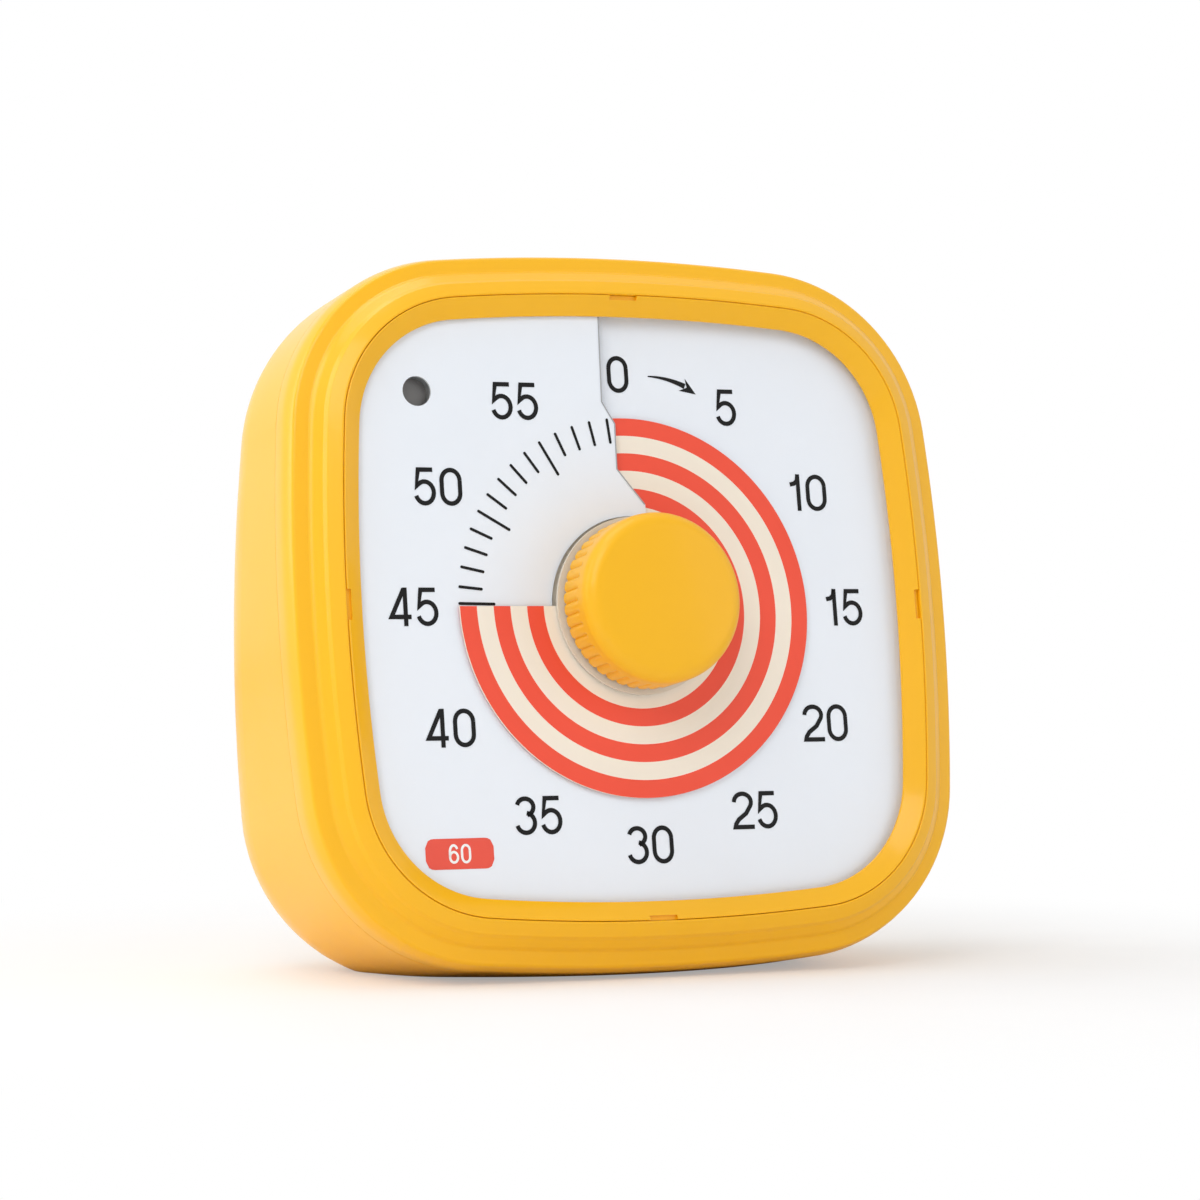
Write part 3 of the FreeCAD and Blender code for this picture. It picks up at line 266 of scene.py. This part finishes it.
def polyline_normals(points):
    """Left-hand normals along an open line of 2-D points, mitred at its bends."""
    normals = []
    for index, point in enumerate(points):
        here = Vector(point)
        before = Vector(points[max(index - 1, 0)])
        after = Vector(points[min(index + 1, len(points) - 1)])
        first = here - before
        second = after - here
        first = first.normalized() if first.length > SHORTEST else second.normalized()
        second = second.normalized() if second.length > SHORTEST else first
        along = (first + second).normalized()
        spread = max(LEAST_MITRE, along.dot(first))
        normals.append(Vector((-along.y, along.x)) / spread)
    return normals


# Materials
GRAIN_HEIGHT = 0.00001
GRAIN_DETAIL = 3.0
PATCH_SCALE = 90.0
PATCH_DETAIL = 4.0
PATCH_RANGE = (0.3, 0.7)
COAT_ROUGHNESS = 0.12


def from_srgb(red, green, blue):
    """A colour written as it looks, turned into the linear values that shaders take."""
    def linear(value):
        value = value / 255.0
        return value / 12.92 if value <= 0.04045 else ((value + 0.055) / 1.055) ** 2.4

    return (linear(red), linear(green), linear(blue), 1.0)


def make_material(name, colour, roughness=0.4, metallic=0.0, specular=0.5, grain_size=0.0004,
                  grain_strength=0.1, rough_spread=0.06, tint_spread=0.02, coat=0.0):
    """A plain surface with fine grain, a little uneven gloss and a trace of uneven tint."""
    material = bpy.data.materials.new(name)
    material.use_nodes = True
    nodes = material.node_tree.nodes
    links = material.node_tree.links
    shader = nodes["Principled BSDF"]
    shader.inputs["Metallic"].default_value = metallic
    shader.inputs["Specular IOR Level"].default_value = specular
    shader.inputs["Coat Weight"].default_value = coat
    shader.inputs["Coat Roughness"].default_value = COAT_ROUGHNESS
    coordinates = nodes.new("ShaderNodeTexCoord")

    grain = nodes.new("ShaderNodeTexNoise")
    grain.inputs["Scale"].default_value = 1.0 / grain_size
    grain.inputs["Detail"].default_value = GRAIN_DETAIL
    links.new(coordinates.outputs["Object"], grain.inputs["Vector"])
    bump = nodes.new("ShaderNodeBump")
    bump.inputs["Strength"].default_value = grain_strength
    bump.inputs["Distance"].default_value = GRAIN_HEIGHT
    links.new(grain.outputs["Fac"], bump.inputs["Height"])
    links.new(bump.outputs["Normal"], shader.inputs["Normal"])

    patches = nodes.new("ShaderNodeTexNoise")
    patches.inputs["Scale"].default_value = PATCH_SCALE
    patches.inputs["Detail"].default_value = PATCH_DETAIL
    links.new(coordinates.outputs["Object"], patches.inputs["Vector"])
    gloss = nodes.new("ShaderNodeMapRange")
    gloss.inputs["From Min"].default_value = PATCH_RANGE[0]
    gloss.inputs["From Max"].default_value = PATCH_RANGE[1]
    gloss.inputs["To Min"].default_value = roughness - rough_spread
    gloss.inputs["To Max"].default_value = roughness + rough_spread
    links.new(patches.outputs["Fac"], gloss.inputs["Value"])
    links.new(gloss.outputs["Result"], shader.inputs["Roughness"])

    tint = nodes.new("ShaderNodeMix")
    tint.data_type = "RGBA"
    tint.inputs["A"].default_value = colour
    tint.inputs["B"].default_value = tuple(c * (1.0 - tint_spread) for c in colour[:3]) + (1.0,)
    links.new(patches.outputs["Fac"], tint.inputs["Factor"])
    links.new(tint.outputs["Result"], shader.inputs["Base Color"])
    return material


YELLOW = make_material("yellow_plastic", from_srgb(252, 188, 10), roughness=0.34, specular=0.3,
                       coat=0.3, grain_strength=0.05, rough_spread=0.03)
KNOB_YELLOW = make_material("knob_plastic", from_srgb(252, 188, 12), roughness=0.4, specular=0.35,
                            coat=0.15, grain_strength=0.08)
DIAL_WHITE = make_material("dial_print", from_srgb(240, 246, 254), roughness=0.55,
                           grain_strength=0.05)
# Painted shadow: the grey of the thin line along the slit, standing in for the raised lip's shadow
SLIT_SHADOW_GREY = make_material("slit_painted_shadow", from_srgb(168, 170, 174), roughness=0.6)
STRIPE_RED = make_material("stripe_red", from_srgb(244, 80, 54), roughness=0.5, grain_strength=0.08)
STRIPE_CREAM = make_material("stripe_cream", from_srgb(248, 238, 222), roughness=0.5,
                             grain_strength=0.08)
INK = make_material("dial_ink", from_srgb(8, 8, 10), roughness=0.6, specular=0.25, tint_spread=0.1)
BADGE_RED = make_material("badge_red", from_srgb(236, 84, 66), roughness=0.5)
BADGE_WHITE = make_material("badge_figures", from_srgb(250, 250, 250), roughness=0.5)
COLLAR_WHITE = make_material("collar_plastic", from_srgb(228, 220, 204), roughness=0.45)
LENS_GREY = make_material("lens_grey", from_srgb(122, 120, 118), roughness=0.25)
BLACK = make_material("black_plastic", from_srgb(30, 30, 32), roughness=0.45)
STEEL = make_material("steel", from_srgb(196, 198, 202), roughness=0.3, metallic=1.0,
                      tint_spread=0.05)
WHITE_PLATE = make_material("white_plastic", from_srgb(240, 240, 238), roughness=0.5)
BRASS = make_material("brass", from_srgb(214, 178, 96), roughness=0.28, metallic=1.0,
                      tint_spread=0.06)
NATURAL = make_material("natural_plastic", from_srgb(226, 222, 210), roughness=0.45)
COPPER = make_material("copper_winding", from_srgb(186, 92, 46), roughness=0.35, metallic=0.6,
                       grain_size=0.0002, grain_strength=0.4)
MAGNET = make_material("magnet", from_srgb(70, 70, 74), roughness=0.5, metallic=0.4)
JACKET = make_material("cell_jacket", from_srgb(58, 62, 68), roughness=0.3, metallic=0.3)
BOARD_GREEN = make_material("board_green", from_srgb(28, 104, 60), roughness=0.4)

FINISHES = {
    "yellow_plastic": YELLOW, "white_print": DIAL_WHITE, "white_plastic": WHITE_PLATE,
    "grey_lens": LENS_GREY, "steel": STEEL, "black_plastic": BLACK,
    "brass": BRASS, "natural_plastic": NATURAL, "copper_winding": COPPER, "magnet": MAGNET,
    "cell_jacket": JACKET, "board_green": BOARD_GREEN,
}


def dress(node, material):
    """Puts a material on every slot of a CAD node."""
    holder = frame["nodes"][node]
    if not holder.material_slots:
        holder.data.materials.append(material)
    for slot in holder.material_slots:
        slot.link = "OBJECT"
        slot.material = material


DRESSED = {
    "yellow_plastic": ("rear_case", "battery_door"),
    "white_print": ("dial_sheet",),
    "white_plastic": ("backplate",),
    "steel": ("plate_screws", "stator", "coil_core", "battery_contact", "battery_spring",
              "case_screws", "main_shaft", "clutch_spring"),
    "grey_lens": ("lamp_lens", "indicator_lamp"),
    "natural_plastic": ("movement_front_plate", "movement_rear_plate", "zero_cam", "main_wheel",
                        "third_wheel"),
    "brass": ("movement_pillars", "alarm_contact"),
    "copper_winding": ("motor_coil",),
    "cell_jacket": ("battery",),
    "board_green": ("circuit_board",),
    "black_plastic": ("buzzer", "volume_switch", "volume_slider"),
    "magnet": ("rotor",),
}
for finish, nodes in DRESSED.items():
    for node in nodes:
        dress(node, FINISHES[finish])
dress("disc_collar", COLLAR_WHITE)


# Front case: the stepped rim, its side and the shelf behind the dial, as rows of depth, inset and
# the radius of the corner there
crest = RIM_WIDTH
tongue = SHELL_WALL + JOINT_CLEARANCE
front_profile = [
    (CREST_DEPTH, crest, 0.35),
    (-1.8, 3.85, 0.06),
    (-1.25, 3.5, 0.08),
    (-0.45, 2.65, 0.25),
    (0.1, 2.3, 0.15),
    (0.6, 0.5, 0.4),
    (2.4, 0.0, 0.8),
    (PARTING_DEPTH, 0.0, 0.12),
    (PARTING_DEPTH, tongue, 0),
    (PARTING_DEPTH + TONGUE_LENGTH, tongue, 0),
    (PARTING_DEPTH + TONGUE_LENGTH, tongue + TONGUE_WALL, 0),
    (SHELF_DEPTH + SHELF_THICKNESS, tongue + TONGUE_WALL, 0),
    (SHELF_DEPTH + SHELF_THICKNESS, crest + SHELF_WIDTH, 0),
    (SHELF_DEPTH, crest + SHELF_WIDTH, 0),
    (SHELF_DEPTH, crest, 0),
]
front_case = ring_of_profile("front_case_rim", rounded_corners(front_profile), "case", YELLOW)
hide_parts("front_case")

# Bezel ring inside the rim
band = RIM_WIDTH + SEAM_SHOWN
bezel_points = rounded_corners([
    (BEZEL_BACK, band + BEZEL_WIDTH, 0),
    (BEZEL_LIP, band + BEZEL_WIDTH, 0.1),
    (CREST_DEPTH, band, 0.3),
    (BEZEL_BACK, band, 0),
])
# In a notch the points of the crest's corner, the third, drop to the notch's wall and floor
notch_points = list(bezel_points)
crest_start = 1 + CORNER_STEPS + 1
notch_points[crest_start] = (NOTCH_TOP, band + NOTCH_WIDTH)
for step in range(1, CORNER_STEPS + 1):
    share = (CORNER_STEPS - step) / (CORNER_STEPS - 1)
    notch_points[crest_start + step] = (NOTCH_FLOOR, band + NOTCH_WIDTH * share)
bezel = ring_of_profile("bezel_trim", bezel_points, "case", YELLOW, notched_profile=notch_points)
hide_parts("bezel_ring")


# Knob: fluted behind, a smooth rounded band before the domed front
FLUTES = 44
FLUTE_STEPS = 10
FLUTE_DEPTH = 0.286
FLUTE_END = -6.2
FLUTED_MARGIN = 0.6
BAND_LENGTH = 0.5
DOME_STEPS = 10
EDGE_STEPS = 8
SKIRT_STEPS = 29


def knob_radius(depth, radius, angle):
    """Sinks the flutes into the outside of the knob's skirt."""
    if radius < KNOB_RADIUS - FLUTED_MARGIN:
        return radius
    fade = min(1.0, max(0.0, (depth - FLUTE_END) / BAND_LENGTH))
    wave = abs(math.sin(FLUTES * angle / 2))
    groove = (1.0 - wave) ** 2
    return radius - FLUTE_DEPTH * fade * groove


knob_face = KNOB_RADIUS - KNOB_EDGE
skirt_start = -KNOB_FRONT + KNOB_EDGE
skirt_length = -KNOB_BACK - skirt_start
web_back = -KNOB_FRONT + KNOB_WEB_DEPTH
knob_profile = []
for i in range(DOME_STEPS + 1):
    share = i / DOME_STEPS
    knob_profile.append((-KNOB_FRONT - KNOB_DOME * (1 - share ** 2), knob_face * share))
for i in range(1, EDGE_STEPS + 1):
    turned = math.pi / 2 * i / EDGE_STEPS
    knob_profile.append((-KNOB_FRONT + KNOB_EDGE * (1 - math.cos(turned)),
                         knob_face + KNOB_EDGE * math.sin(turned)))
for i in range(1, SKIRT_STEPS + 1):
    knob_profile.append((skirt_start + skirt_length * i / SKIRT_STEPS, KNOB_RADIUS))
knob_profile += [
    (-KNOB_BACK, KNOB_SKIRT_INNER), (web_back, KNOB_SKIRT_INNER), (web_back, KNOB_BOSS_RADIUS),
    (-KNOB_BACK, KNOB_BOSS_RADIUS), (-KNOB_BACK, SHAFT_RADIUS), (-SHAFT_FRONT, SHAFT_RADIUS),
    (-SHAFT_FRONT, 0.0),
]
knob = turned_piece("knob_cap", knob_profile, "dial_drive", KNOB_YELLOW, FLUTES * FLUTE_STEPS,
                    KNOB_SHARPNESS, knob_radius)
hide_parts("knob")


# Striped disc: one turn of a screw surface in rings of two colours, each from a share of its radius
STRIPES = ((1.0, "red"), (0.907, "cream"), (0.814, "red"), (0.721, "cream"), (0.628, "red"),
           (0.535, "cream"))
DISC_SPAN = 359.0
DISC_STEPS = 240
STRIPE_STEPS = 4
RED = 0
CREAM = 1


def disc_height(degrees):
    """How far the disc's middle stands out towards the viewer, clockwise from twelve."""
    return SCREW_PITCH * degrees / 360.0


def make_disc():
    radii = []
    for index, (share, _) in enumerate(STRIPES):
        inner = STRIPES[index + 1][0] if index + 1 < len(STRIPES) else DISC_BORE / DISC_RADIUS
        for step in range(STRIPE_STEPS):
            radii.append((share + (inner - share) * step / STRIPE_STEPS) * DISC_RADIUS)
    radii.append(DISC_BORE)
    lead = DEGREES_PER_MINUTE * SHOWN_MINUTES
    start = lead - DISC_SPAN
    vertices = []
    for side in (-0.5, 0.5):
        for step in range(DISC_STEPS + 1):
            degrees = start + (lead - start) * step / DISC_STEPS
            outward = disc_height(degrees) - side * SHEET_THICKNESS
            angle = math.radians(degrees)
            for radius in radii:
                vertices.append(place(radius * math.sin(angle), -outward, radius * math.cos(angle)))
    width = len(radii)
    sheet = (DISC_STEPS + 1) * width
    faces = []
    paints = []

    def add(face, paint):
        faces.append(face)
        paints.append(paint)

    for step in range(DISC_STEPS):
        for column in range(width - 1):
            a = step * width + column
            paint = RED if STRIPES[column // STRIPE_STEPS][1] == "red" else CREAM
            add((a, a + 1, a + width + 1, a + width), paint)
            add((sheet + a, sheet + a + width, sheet + a + width + 1, sheet + a + 1), paint)
        for column in (0, width - 1):
            a = step * width + column
            add((a, a + width, sheet + a + width, sheet + a), CREAM)
    for step in (0, DISC_STEPS):
        for column in range(width - 1):
            a = step * width + column
            add((a, a + 1, sheet + a + 1, sheet + a), CREAM)
    piece = new_mesh_object("striped_sheet", vertices, faces, STRIPE_RED, STRIPE_CREAM)
    for polygon, paint in zip(piece.data.polygons, paints):
        polygon.material_index = paint
        polygon.use_smooth = True
    with editing(piece.data) as work:
        bmesh.ops.recalc_face_normals(work, faces=work.faces)
    sharpen(piece, DISC_SHARPNESS)
    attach(piece, "disc")
    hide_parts("striped_disc")


make_disc()


# Marks printed on the dial, as thin ribbons that follow its screw surface
INK_LIFT = 0.04
FIGURE_LIFT = 0.06


def slit_x(z):
    """Where the dial's slit lies at a height above its centre."""
    for (x0, z0), (x1, z1) in zip(SLIT, SLIT[1:]):
        if z1 <= z <= z0:
            return x0 + (x1 - x0) * (z0 - z) / (z0 - z1)
    return 0.0


def on_dial(x, z):
    """The depth of the dial's printed face at a point, on its own side of the slit."""
    degrees = math.degrees(math.atan2(x, z)) % 360.0
    if degrees > 180 and z > 0 and x > slit_x(z):
        degrees -= 360.0
    elif degrees < 180 and z > 0 and x < slit_x(z):
        degrees += 360.0
    outward = -SCREW_PITCH / 2 + SCREW_PITCH * degrees / 360.0
    return -(outward + SHEET_THICKNESS / 2)


def printed(name, outlines, material, lift=INK_LIFT):
    """A flat mark of convex (x, z) outlines, laid just above the dial."""
    vertices = []
    faces = []
    for outline in outlines:
        start = len(vertices)
        for x, z in outline:
            depth = on_dial(x, z) - lift
            vertices.append(place(x, depth, z))
        faces.append(tuple(range(start, start + len(outline))))
    piece = new_mesh_object(name, vertices, faces, material)
    with editing(piece.data) as work:
        bmesh.ops.remove_doubles(work, verts=work.verts, dist=MARK_MERGE_DISTANCE)
        for face in work.faces:
            if face.normal.dot(INWARD) > 0:
                face.normal_flip()
            face.smooth = True
    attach(piece, "case")


def round_cap(point, normal, size, back):
    """A half circle beyond one end of a line."""
    centre = Vector(point)
    side = normal.normalized() * size / 2
    ahead = Vector((side.y, -side.x)) * back
    fan = []
    for step in range(CAP_STEPS + 1):
        angle = math.pi * step / CAP_STEPS
        fan.append(centre + side * math.cos(angle) + ahead * math.sin(angle))
    return tuple(fan)


def stroke(points, width, round_start=False, round_end=False):
    """Convex outlines along a line of steady or changing width, with flat or round ends."""
    normals = polyline_normals(points)
    widths = width if isinstance(width, (list, tuple)) else [width] * len(points)
    outlines = []
    for index in range(len(points) - 1):
        a = Vector(points[index])
        b = Vector(points[index + 1])
        na = normals[index] * widths[index] / 2
        nb = normals[index + 1] * widths[index + 1] / 2
        outlines.append((a + na, b + nb, b - nb, a - na))
    if round_start:
        outlines.append(round_cap(points[0], normals[0], widths[0], -1))
    if round_end:
        outlines.append(round_cap(points[-1], normals[-1], widths[-1], 1))
    return [tuple((point.x, point.y) for point in outline) for outline in outlines]


def arc(cx, cz, rx, rz, start, end, steps=14):
    """Points on an ellipse, angles in degrees anticlockwise from the right."""
    points = []
    for step in range(steps + 1):
        angle = math.radians(start + (end - start) * step / steps)
        points.append((cx + rx * math.cos(angle), cz + rz * math.sin(angle)))
    return points


# Figures: centre lines in a box one unit high, with the pen's width taken off the edges
PEN = 0.118
FIGURE_WIDTH = 0.56
ONE_WIDTH = 0.36
FIGURE_GAP = 0.075
FIGURE_SPREAD = 1.14


def figure_lines(digit):
    """The lines of one figure, as points across and up from its lower left corner."""
    low = PEN / 2
    high = 1.0 - PEN / 2
    left = PEN / 2
    right = FIGURE_WIDTH - PEN / 2
    middle = FIGURE_WIDTH / 2
    half = (right - left) / 2
    if digit == "0":
        return [arc(middle, high - half * 1.25, half, half * 1.25, 0, 180)
                + arc(middle, low + half * 1.25, half, half * 1.25, 180, 360)
                + [(right, high - half * 1.25)]]
    if digit == "1":
        stem = 0.245
        return [[(0.03, 0.72), (0.14, 0.745), (0.22, 0.82), (stem, high + PEN / 2)],
                [(stem, 0.0), (stem, 1.0)]]
    if digit == "2":
        top = high - half
        return [arc(middle, top, half, half, 180, -28)
                + [(left + 0.30, 0.42), (left + 0.10, 0.26), (left + 0.02, 0.14), (left, low)]
                + [(right + PEN / 2, low)]]
    if digit == "3":
        upper = 0.215
        lower = 0.255
        return [arc(middle - 0.005, high - upper, half * 0.92, upper, 165, -78, 18),
                arc(middle - 0.005, low + lower, half, lower, 82, -165, 20)]
    if digit == "4":
        stem = 0.385
        return [[(right + 0.02, 0.24), (left - 0.02, 0.24), (0.36, high + 0.03)],
                [(stem, 0.0), (stem, 1.0)]]
    if digit == "5":
        bowl = 0.285
        return [[(right - 0.02, high), (left + 0.07, high), (left + 0.015, 0.50)]
                + arc(middle - 0.01, low + bowl, half, bowl, 128, -162, 20)]
    bowl = 0.27
    return [arc(middle, low + bowl, half, bowl, 0, 360, 28),
            arc(middle + 0.005, high - 0.36, half, 0.36, 28, 180) + [(left, low + bowl)]]


def write_figures(text, cx, cz, height):
    """Outlines of a number centred at a point."""
    outlines = []
    widths = [ONE_WIDTH if digit == "1" else FIGURE_WIDTH for digit in text]
    start = -(sum(widths) + FIGURE_GAP * (len(text) - 1)) / 2
    for digit, width in zip(text, widths):
        for line in figure_lines(digit):
            points = [(cx + (start + x) * FIGURE_SPREAD * height, cz + (z - 0.5) * height)
                      for x, z in line]
            outlines += stroke(points, PEN * height)
        start += width + FIGURE_GAP
    return outlines


def bearing_point(degrees, radius):
    """A point of the dial, by its angle clockwise from twelve."""
    bearing = math.radians(degrees)
    return (radius * math.sin(bearing), radius * math.cos(bearing))


# Numbers round the dial, one for every five minutes
NUMBER_RADIUS = 27.9
NUMBER_HEIGHT = 4.45

number_outlines = []
for minute in range(0, 60, 5):
    x, z = bearing_point(DEGREES_PER_MINUTE * minute, NUMBER_RADIUS)
    number_outlines += write_figures(str(minute), x, z, NUMBER_HEIGHT)
printed("dial_numbers", number_outlines, INK)

# Ticks from 45 to 59 minutes, with the first one just clear of the disc's edge
TICK_WIDTH = 0.34
TICK_START = 0.99 * DISC_RADIUS
TICK_END = 0.87 * DISC_RADIUS
LONG_TICK_END = 0.80 * DISC_RADIUS
FIRST_TICK_SHIFT = 1.0

tick_outlines = []
for minute in range(45, 60):
    degrees = DEGREES_PER_MINUTE * minute + (FIRST_TICK_SHIFT if minute == 45 else 0.0)
    end = LONG_TICK_END if minute % 5 == 0 else TICK_END
    line = [bearing_point(degrees, radius) for radius in (TICK_START, end)]
    tick_outlines += stroke(line, TICK_WIDTH, round_start=True, round_end=True)
printed("dial_ticks", tick_outlines, INK)

# Arrow beside the zero: a swelling tail that bends down to a barbed head
TAIL_STEPS = 12
TAIL_START = (4.0, 27.75)
TAIL_LENGTH = 4.7
TAIL_FALL = 0.1
TAIL_BEND = 1.0
TAIL_THIN = 0.16
TAIL_SWELL = 0.5
ARROW_TIP = (10.1, 25.7)
ARROW_HEEL = (8.95, 26.5)
ARROW_BARBS = ((8.75, 27.6), (7.9, 26.1))

tail = []
tail_widths = []
for step in range(TAIL_STEPS + 1):
    t = step / TAIL_STEPS
    drop = TAIL_FALL * t + TAIL_BEND * t * t
    tail.append((TAIL_START[0] + TAIL_LENGTH * t, TAIL_START[1] - drop))
    tail_widths.append(TAIL_THIN + TAIL_SWELL * step / TAIL_STEPS)
arrow_outlines = stroke(tail, tail_widths, round_start=True)
arrow_outlines.append((ARROW_TIP, ARROW_BARBS[0], ARROW_HEEL))
arrow_outlines.append((ARROW_TIP, ARROW_HEEL, ARROW_BARBS[1]))
printed("dial_arrow", arrow_outlines, INK)

# Painted shadow along the dial's slit: a thin grey line on the raised left lip stands in for the
# shadow where that lip steps over the lower one
SLIT_SHADOW_WIDTH = 0.16
SLIT_SHADOW_SHIFT = 0.14
printed("slit_painted_shadow_line", stroke([(x - SLIT_SHADOW_SHIFT, z) for x, z in SLIT[1:6]], SLIT_SHADOW_WIDTH), SLIT_SHADOW_GREY)

# Badge low on the left
BADGE_X = -24.0
BADGE_Z = -28.3
BADGE_LENGTH = 8.4
BADGE_HEIGHT = 3.5
BADGE_CORNER = 1.0
BADGE_STEPS = 24
BADGE_FIGURE_HEIGHT = 2.2
BADGE_PEN = 0.13
BADGE_FIGURES = (("6", -0.62), ("0", 0.06))

badge_half = BADGE_LENGTH / 2
badge_rows = []
for step in range(BADGE_STEPS + 1):
    offset = -badge_half + BADGE_LENGTH * step / BADGE_STEPS
    over = max(0.0, abs(offset) - (badge_half - BADGE_CORNER))
    curve = math.sqrt(max(0.0, BADGE_CORNER ** 2 - over ** 2))
    badge_rows.append((BADGE_X + offset, BADGE_HEIGHT / 2 - BADGE_CORNER + curve))
badge_outlines = []
for (x0, rise0), (x1, rise1) in zip(badge_rows, badge_rows[1:]):
    badge_outlines.append(((x0, BADGE_Z - rise0), (x1, BADGE_Z - rise1),
                           (x1, BADGE_Z + rise1), (x0, BADGE_Z + rise0)))
printed("dial_badge", badge_outlines, BADGE_RED)

figure_outlines = []
for digit, start in BADGE_FIGURES:
    for line in figure_lines(digit):
        points = [(BADGE_X + (start + x) * BADGE_FIGURE_HEIGHT,
                   BADGE_Z + (z - 0.5) * BADGE_FIGURE_HEIGHT) for x, z in line]
        figure_outlines += stroke(points, BADGE_PEN * BADGE_FIGURE_HEIGHT)
printed("badge_digits", figure_outlines, BADGE_WHITE, lift=FIGURE_LIFT)


# Camera, level and to the left of the dial
CAMERA_AZIMUTH = math.radians(-24.6)
CAMERA_DISTANCE = 0.450
PICTURE_PIXELS = 1200.0
FOCAL_SHARE = 3844.0 / PICTURE_PIXELS
SHIFT_LEFT_PIXELS = 34.2
SHIFT_UP_PIXELS = 7.3
SENSOR_WIDTH = 36.0

forward = Vector((-math.sin(CAMERA_AZIMUTH), math.cos(CAMERA_AZIMUTH), 0.0))
sideways = Vector((math.cos(CAMERA_AZIMUTH), math.sin(CAMERA_AZIMUTH), 0.0))
camera_data = bpy.data.cameras.new("camera")
camera_data.sensor_width = SENSOR_WIDTH
camera_data.lens = FOCAL_SHARE * SENSOR_WIDTH
camera_data.clip_start = 0.01
camera_data.clip_end = 20.0
camera = new_object("camera", camera_data)
left = SHIFT_LEFT_PIXELS / PICTURE_PIXELS / FOCAL_SHARE * CAMERA_DISTANCE
up = SHIFT_UP_PIXELS / PICTURE_PIXELS / FOCAL_SHARE * CAMERA_DISTANCE
camera.location = DIAL_CENTRE - forward * CAMERA_DISTANCE - sideways * left + Vector((0.0, 0.0, up))
camera.rotation_euler = (math.pi / 2, 0.0, CAMERA_AZIMUTH)
bpy.context.scene.camera = camera


# Floor, light and background
FLOOR_HALF = 1.5
FADE_START = 0.05
FADE_END = 0.13
FLOOR_LIFT = 0.35
WORLD_LIGHT = 0.48

FLOOR_WHITE = make_material("floor_white", (0.95, 0.95, 0.95, 1.0), roughness=0.6, specular=0.2,
                            grain_strength=0.02)


def fade_floor(material):
    """Lets the floor run out to plain white for the viewer, away from the object."""
    nodes = material.node_tree.nodes
    links = material.node_tree.links
    shader = nodes["Principled BSDF"]
    output = nodes["Material Output"]
    geometry = nodes.new("ShaderNodeNewGeometry")
    distance = nodes.new("ShaderNodeVectorMath")
    distance.operation = "LENGTH"
    links.new(geometry.outputs["Position"], distance.inputs[0])
    fade = nodes.new("ShaderNodeMapRange")
    fade.interpolation_type = "SMOOTHSTEP"
    fade.inputs["From Min"].default_value = FADE_START
    fade.inputs["From Max"].default_value = FADE_END
    fade.inputs["To Min"].default_value = FLOOR_LIFT
    links.new(distance.outputs["Value"], fade.inputs["Value"])
    path = nodes.new("ShaderNodeLightPath")
    seen = nodes.new("ShaderNodeMath")
    seen.operation = "MULTIPLY"
    links.new(fade.outputs["Result"], seen.inputs[0])
    links.new(path.outputs["Is Camera Ray"], seen.inputs[1])
    white = nodes.new("ShaderNodeEmission")
    white.inputs["Strength"].default_value = 1.0
    blend = nodes.new("ShaderNodeMixShader")
    links.new(seen.outputs["Value"], blend.inputs["Fac"])
    links.new(shader.outputs["BSDF"], blend.inputs[1])
    links.new(white.outputs["Emission"], blend.inputs[2])
    links.new(blend.outputs["Shader"], output.inputs["Surface"])


fade_floor(FLOOR_WHITE)
floor = new_mesh_object("floor", [(-FLOOR_HALF, -FLOOR_HALF, 0), (FLOOR_HALF, -FLOOR_HALF, 0),
                                  (FLOOR_HALF, FLOOR_HALF, 0), (-FLOOR_HALF, FLOOR_HALF, 0)],
                        [(0, 1, 2, 3)], FLOOR_WHITE)

world = bpy.data.worlds.new("studio")
bpy.context.scene.world = world
world.use_nodes = True
world_nodes = world.node_tree.nodes
world_links = world.node_tree.links
background = world_nodes["Background"]
background.inputs["Color"].default_value = (1.0, 1.0, 1.0, 1.0)
seen = world_nodes.new("ShaderNodeLightPath")
either = world_nodes.new("ShaderNodeMath")
either.operation = "MAXIMUM"
world_links.new(seen.outputs["Is Camera Ray"], either.inputs[0])
world_links.new(seen.outputs["Is Glossy Ray"], either.inputs[1])
level = world_nodes.new("ShaderNodeMapRange")
level.inputs["To Min"].default_value = WORLD_LIGHT
level.inputs["To Max"].default_value = 1.0
world_links.new(either.outputs["Value"], level.inputs["Value"])
world_links.new(level.outputs["Result"], background.inputs["Strength"])


def softbox(name, direction, distance, width, height, power):
    """A rectangular lamp that faces the middle of the object."""
    data = bpy.data.lights.new(name, "AREA")
    data.shape = "RECTANGLE"
    data.size = width
    data.size_y = height
    data.energy = power
    lamp = new_object(name, data)
    towards = Vector(direction).normalized()
    lamp.location = MIDDLE + towards * distance
    lamp.rotation_euler = (-towards).to_track_quat("-Z", "Y").to_euler()


MIDDLE = Vector((0.0, 0.0, 0.04))
softbox("key_left_high", (-0.75, -0.75, 0.85), distance=0.9, width=0.5, height=0.5, power=2.4)
softbox("left_rear", (-1.0, 0.35, 0.5), distance=0.8, width=0.5, height=0.6, power=2.3)
softbox("overhead", (-0.2, 0.1, 1.0), distance=0.7, width=0.6, height=0.4, power=1.3)
softbox("fill_right", (0.9, -0.8, 0.35), distance=1.2, width=0.7, height=0.7, power=1.5)
bpy.context.scene.view_settings.view_transform = "Standard"
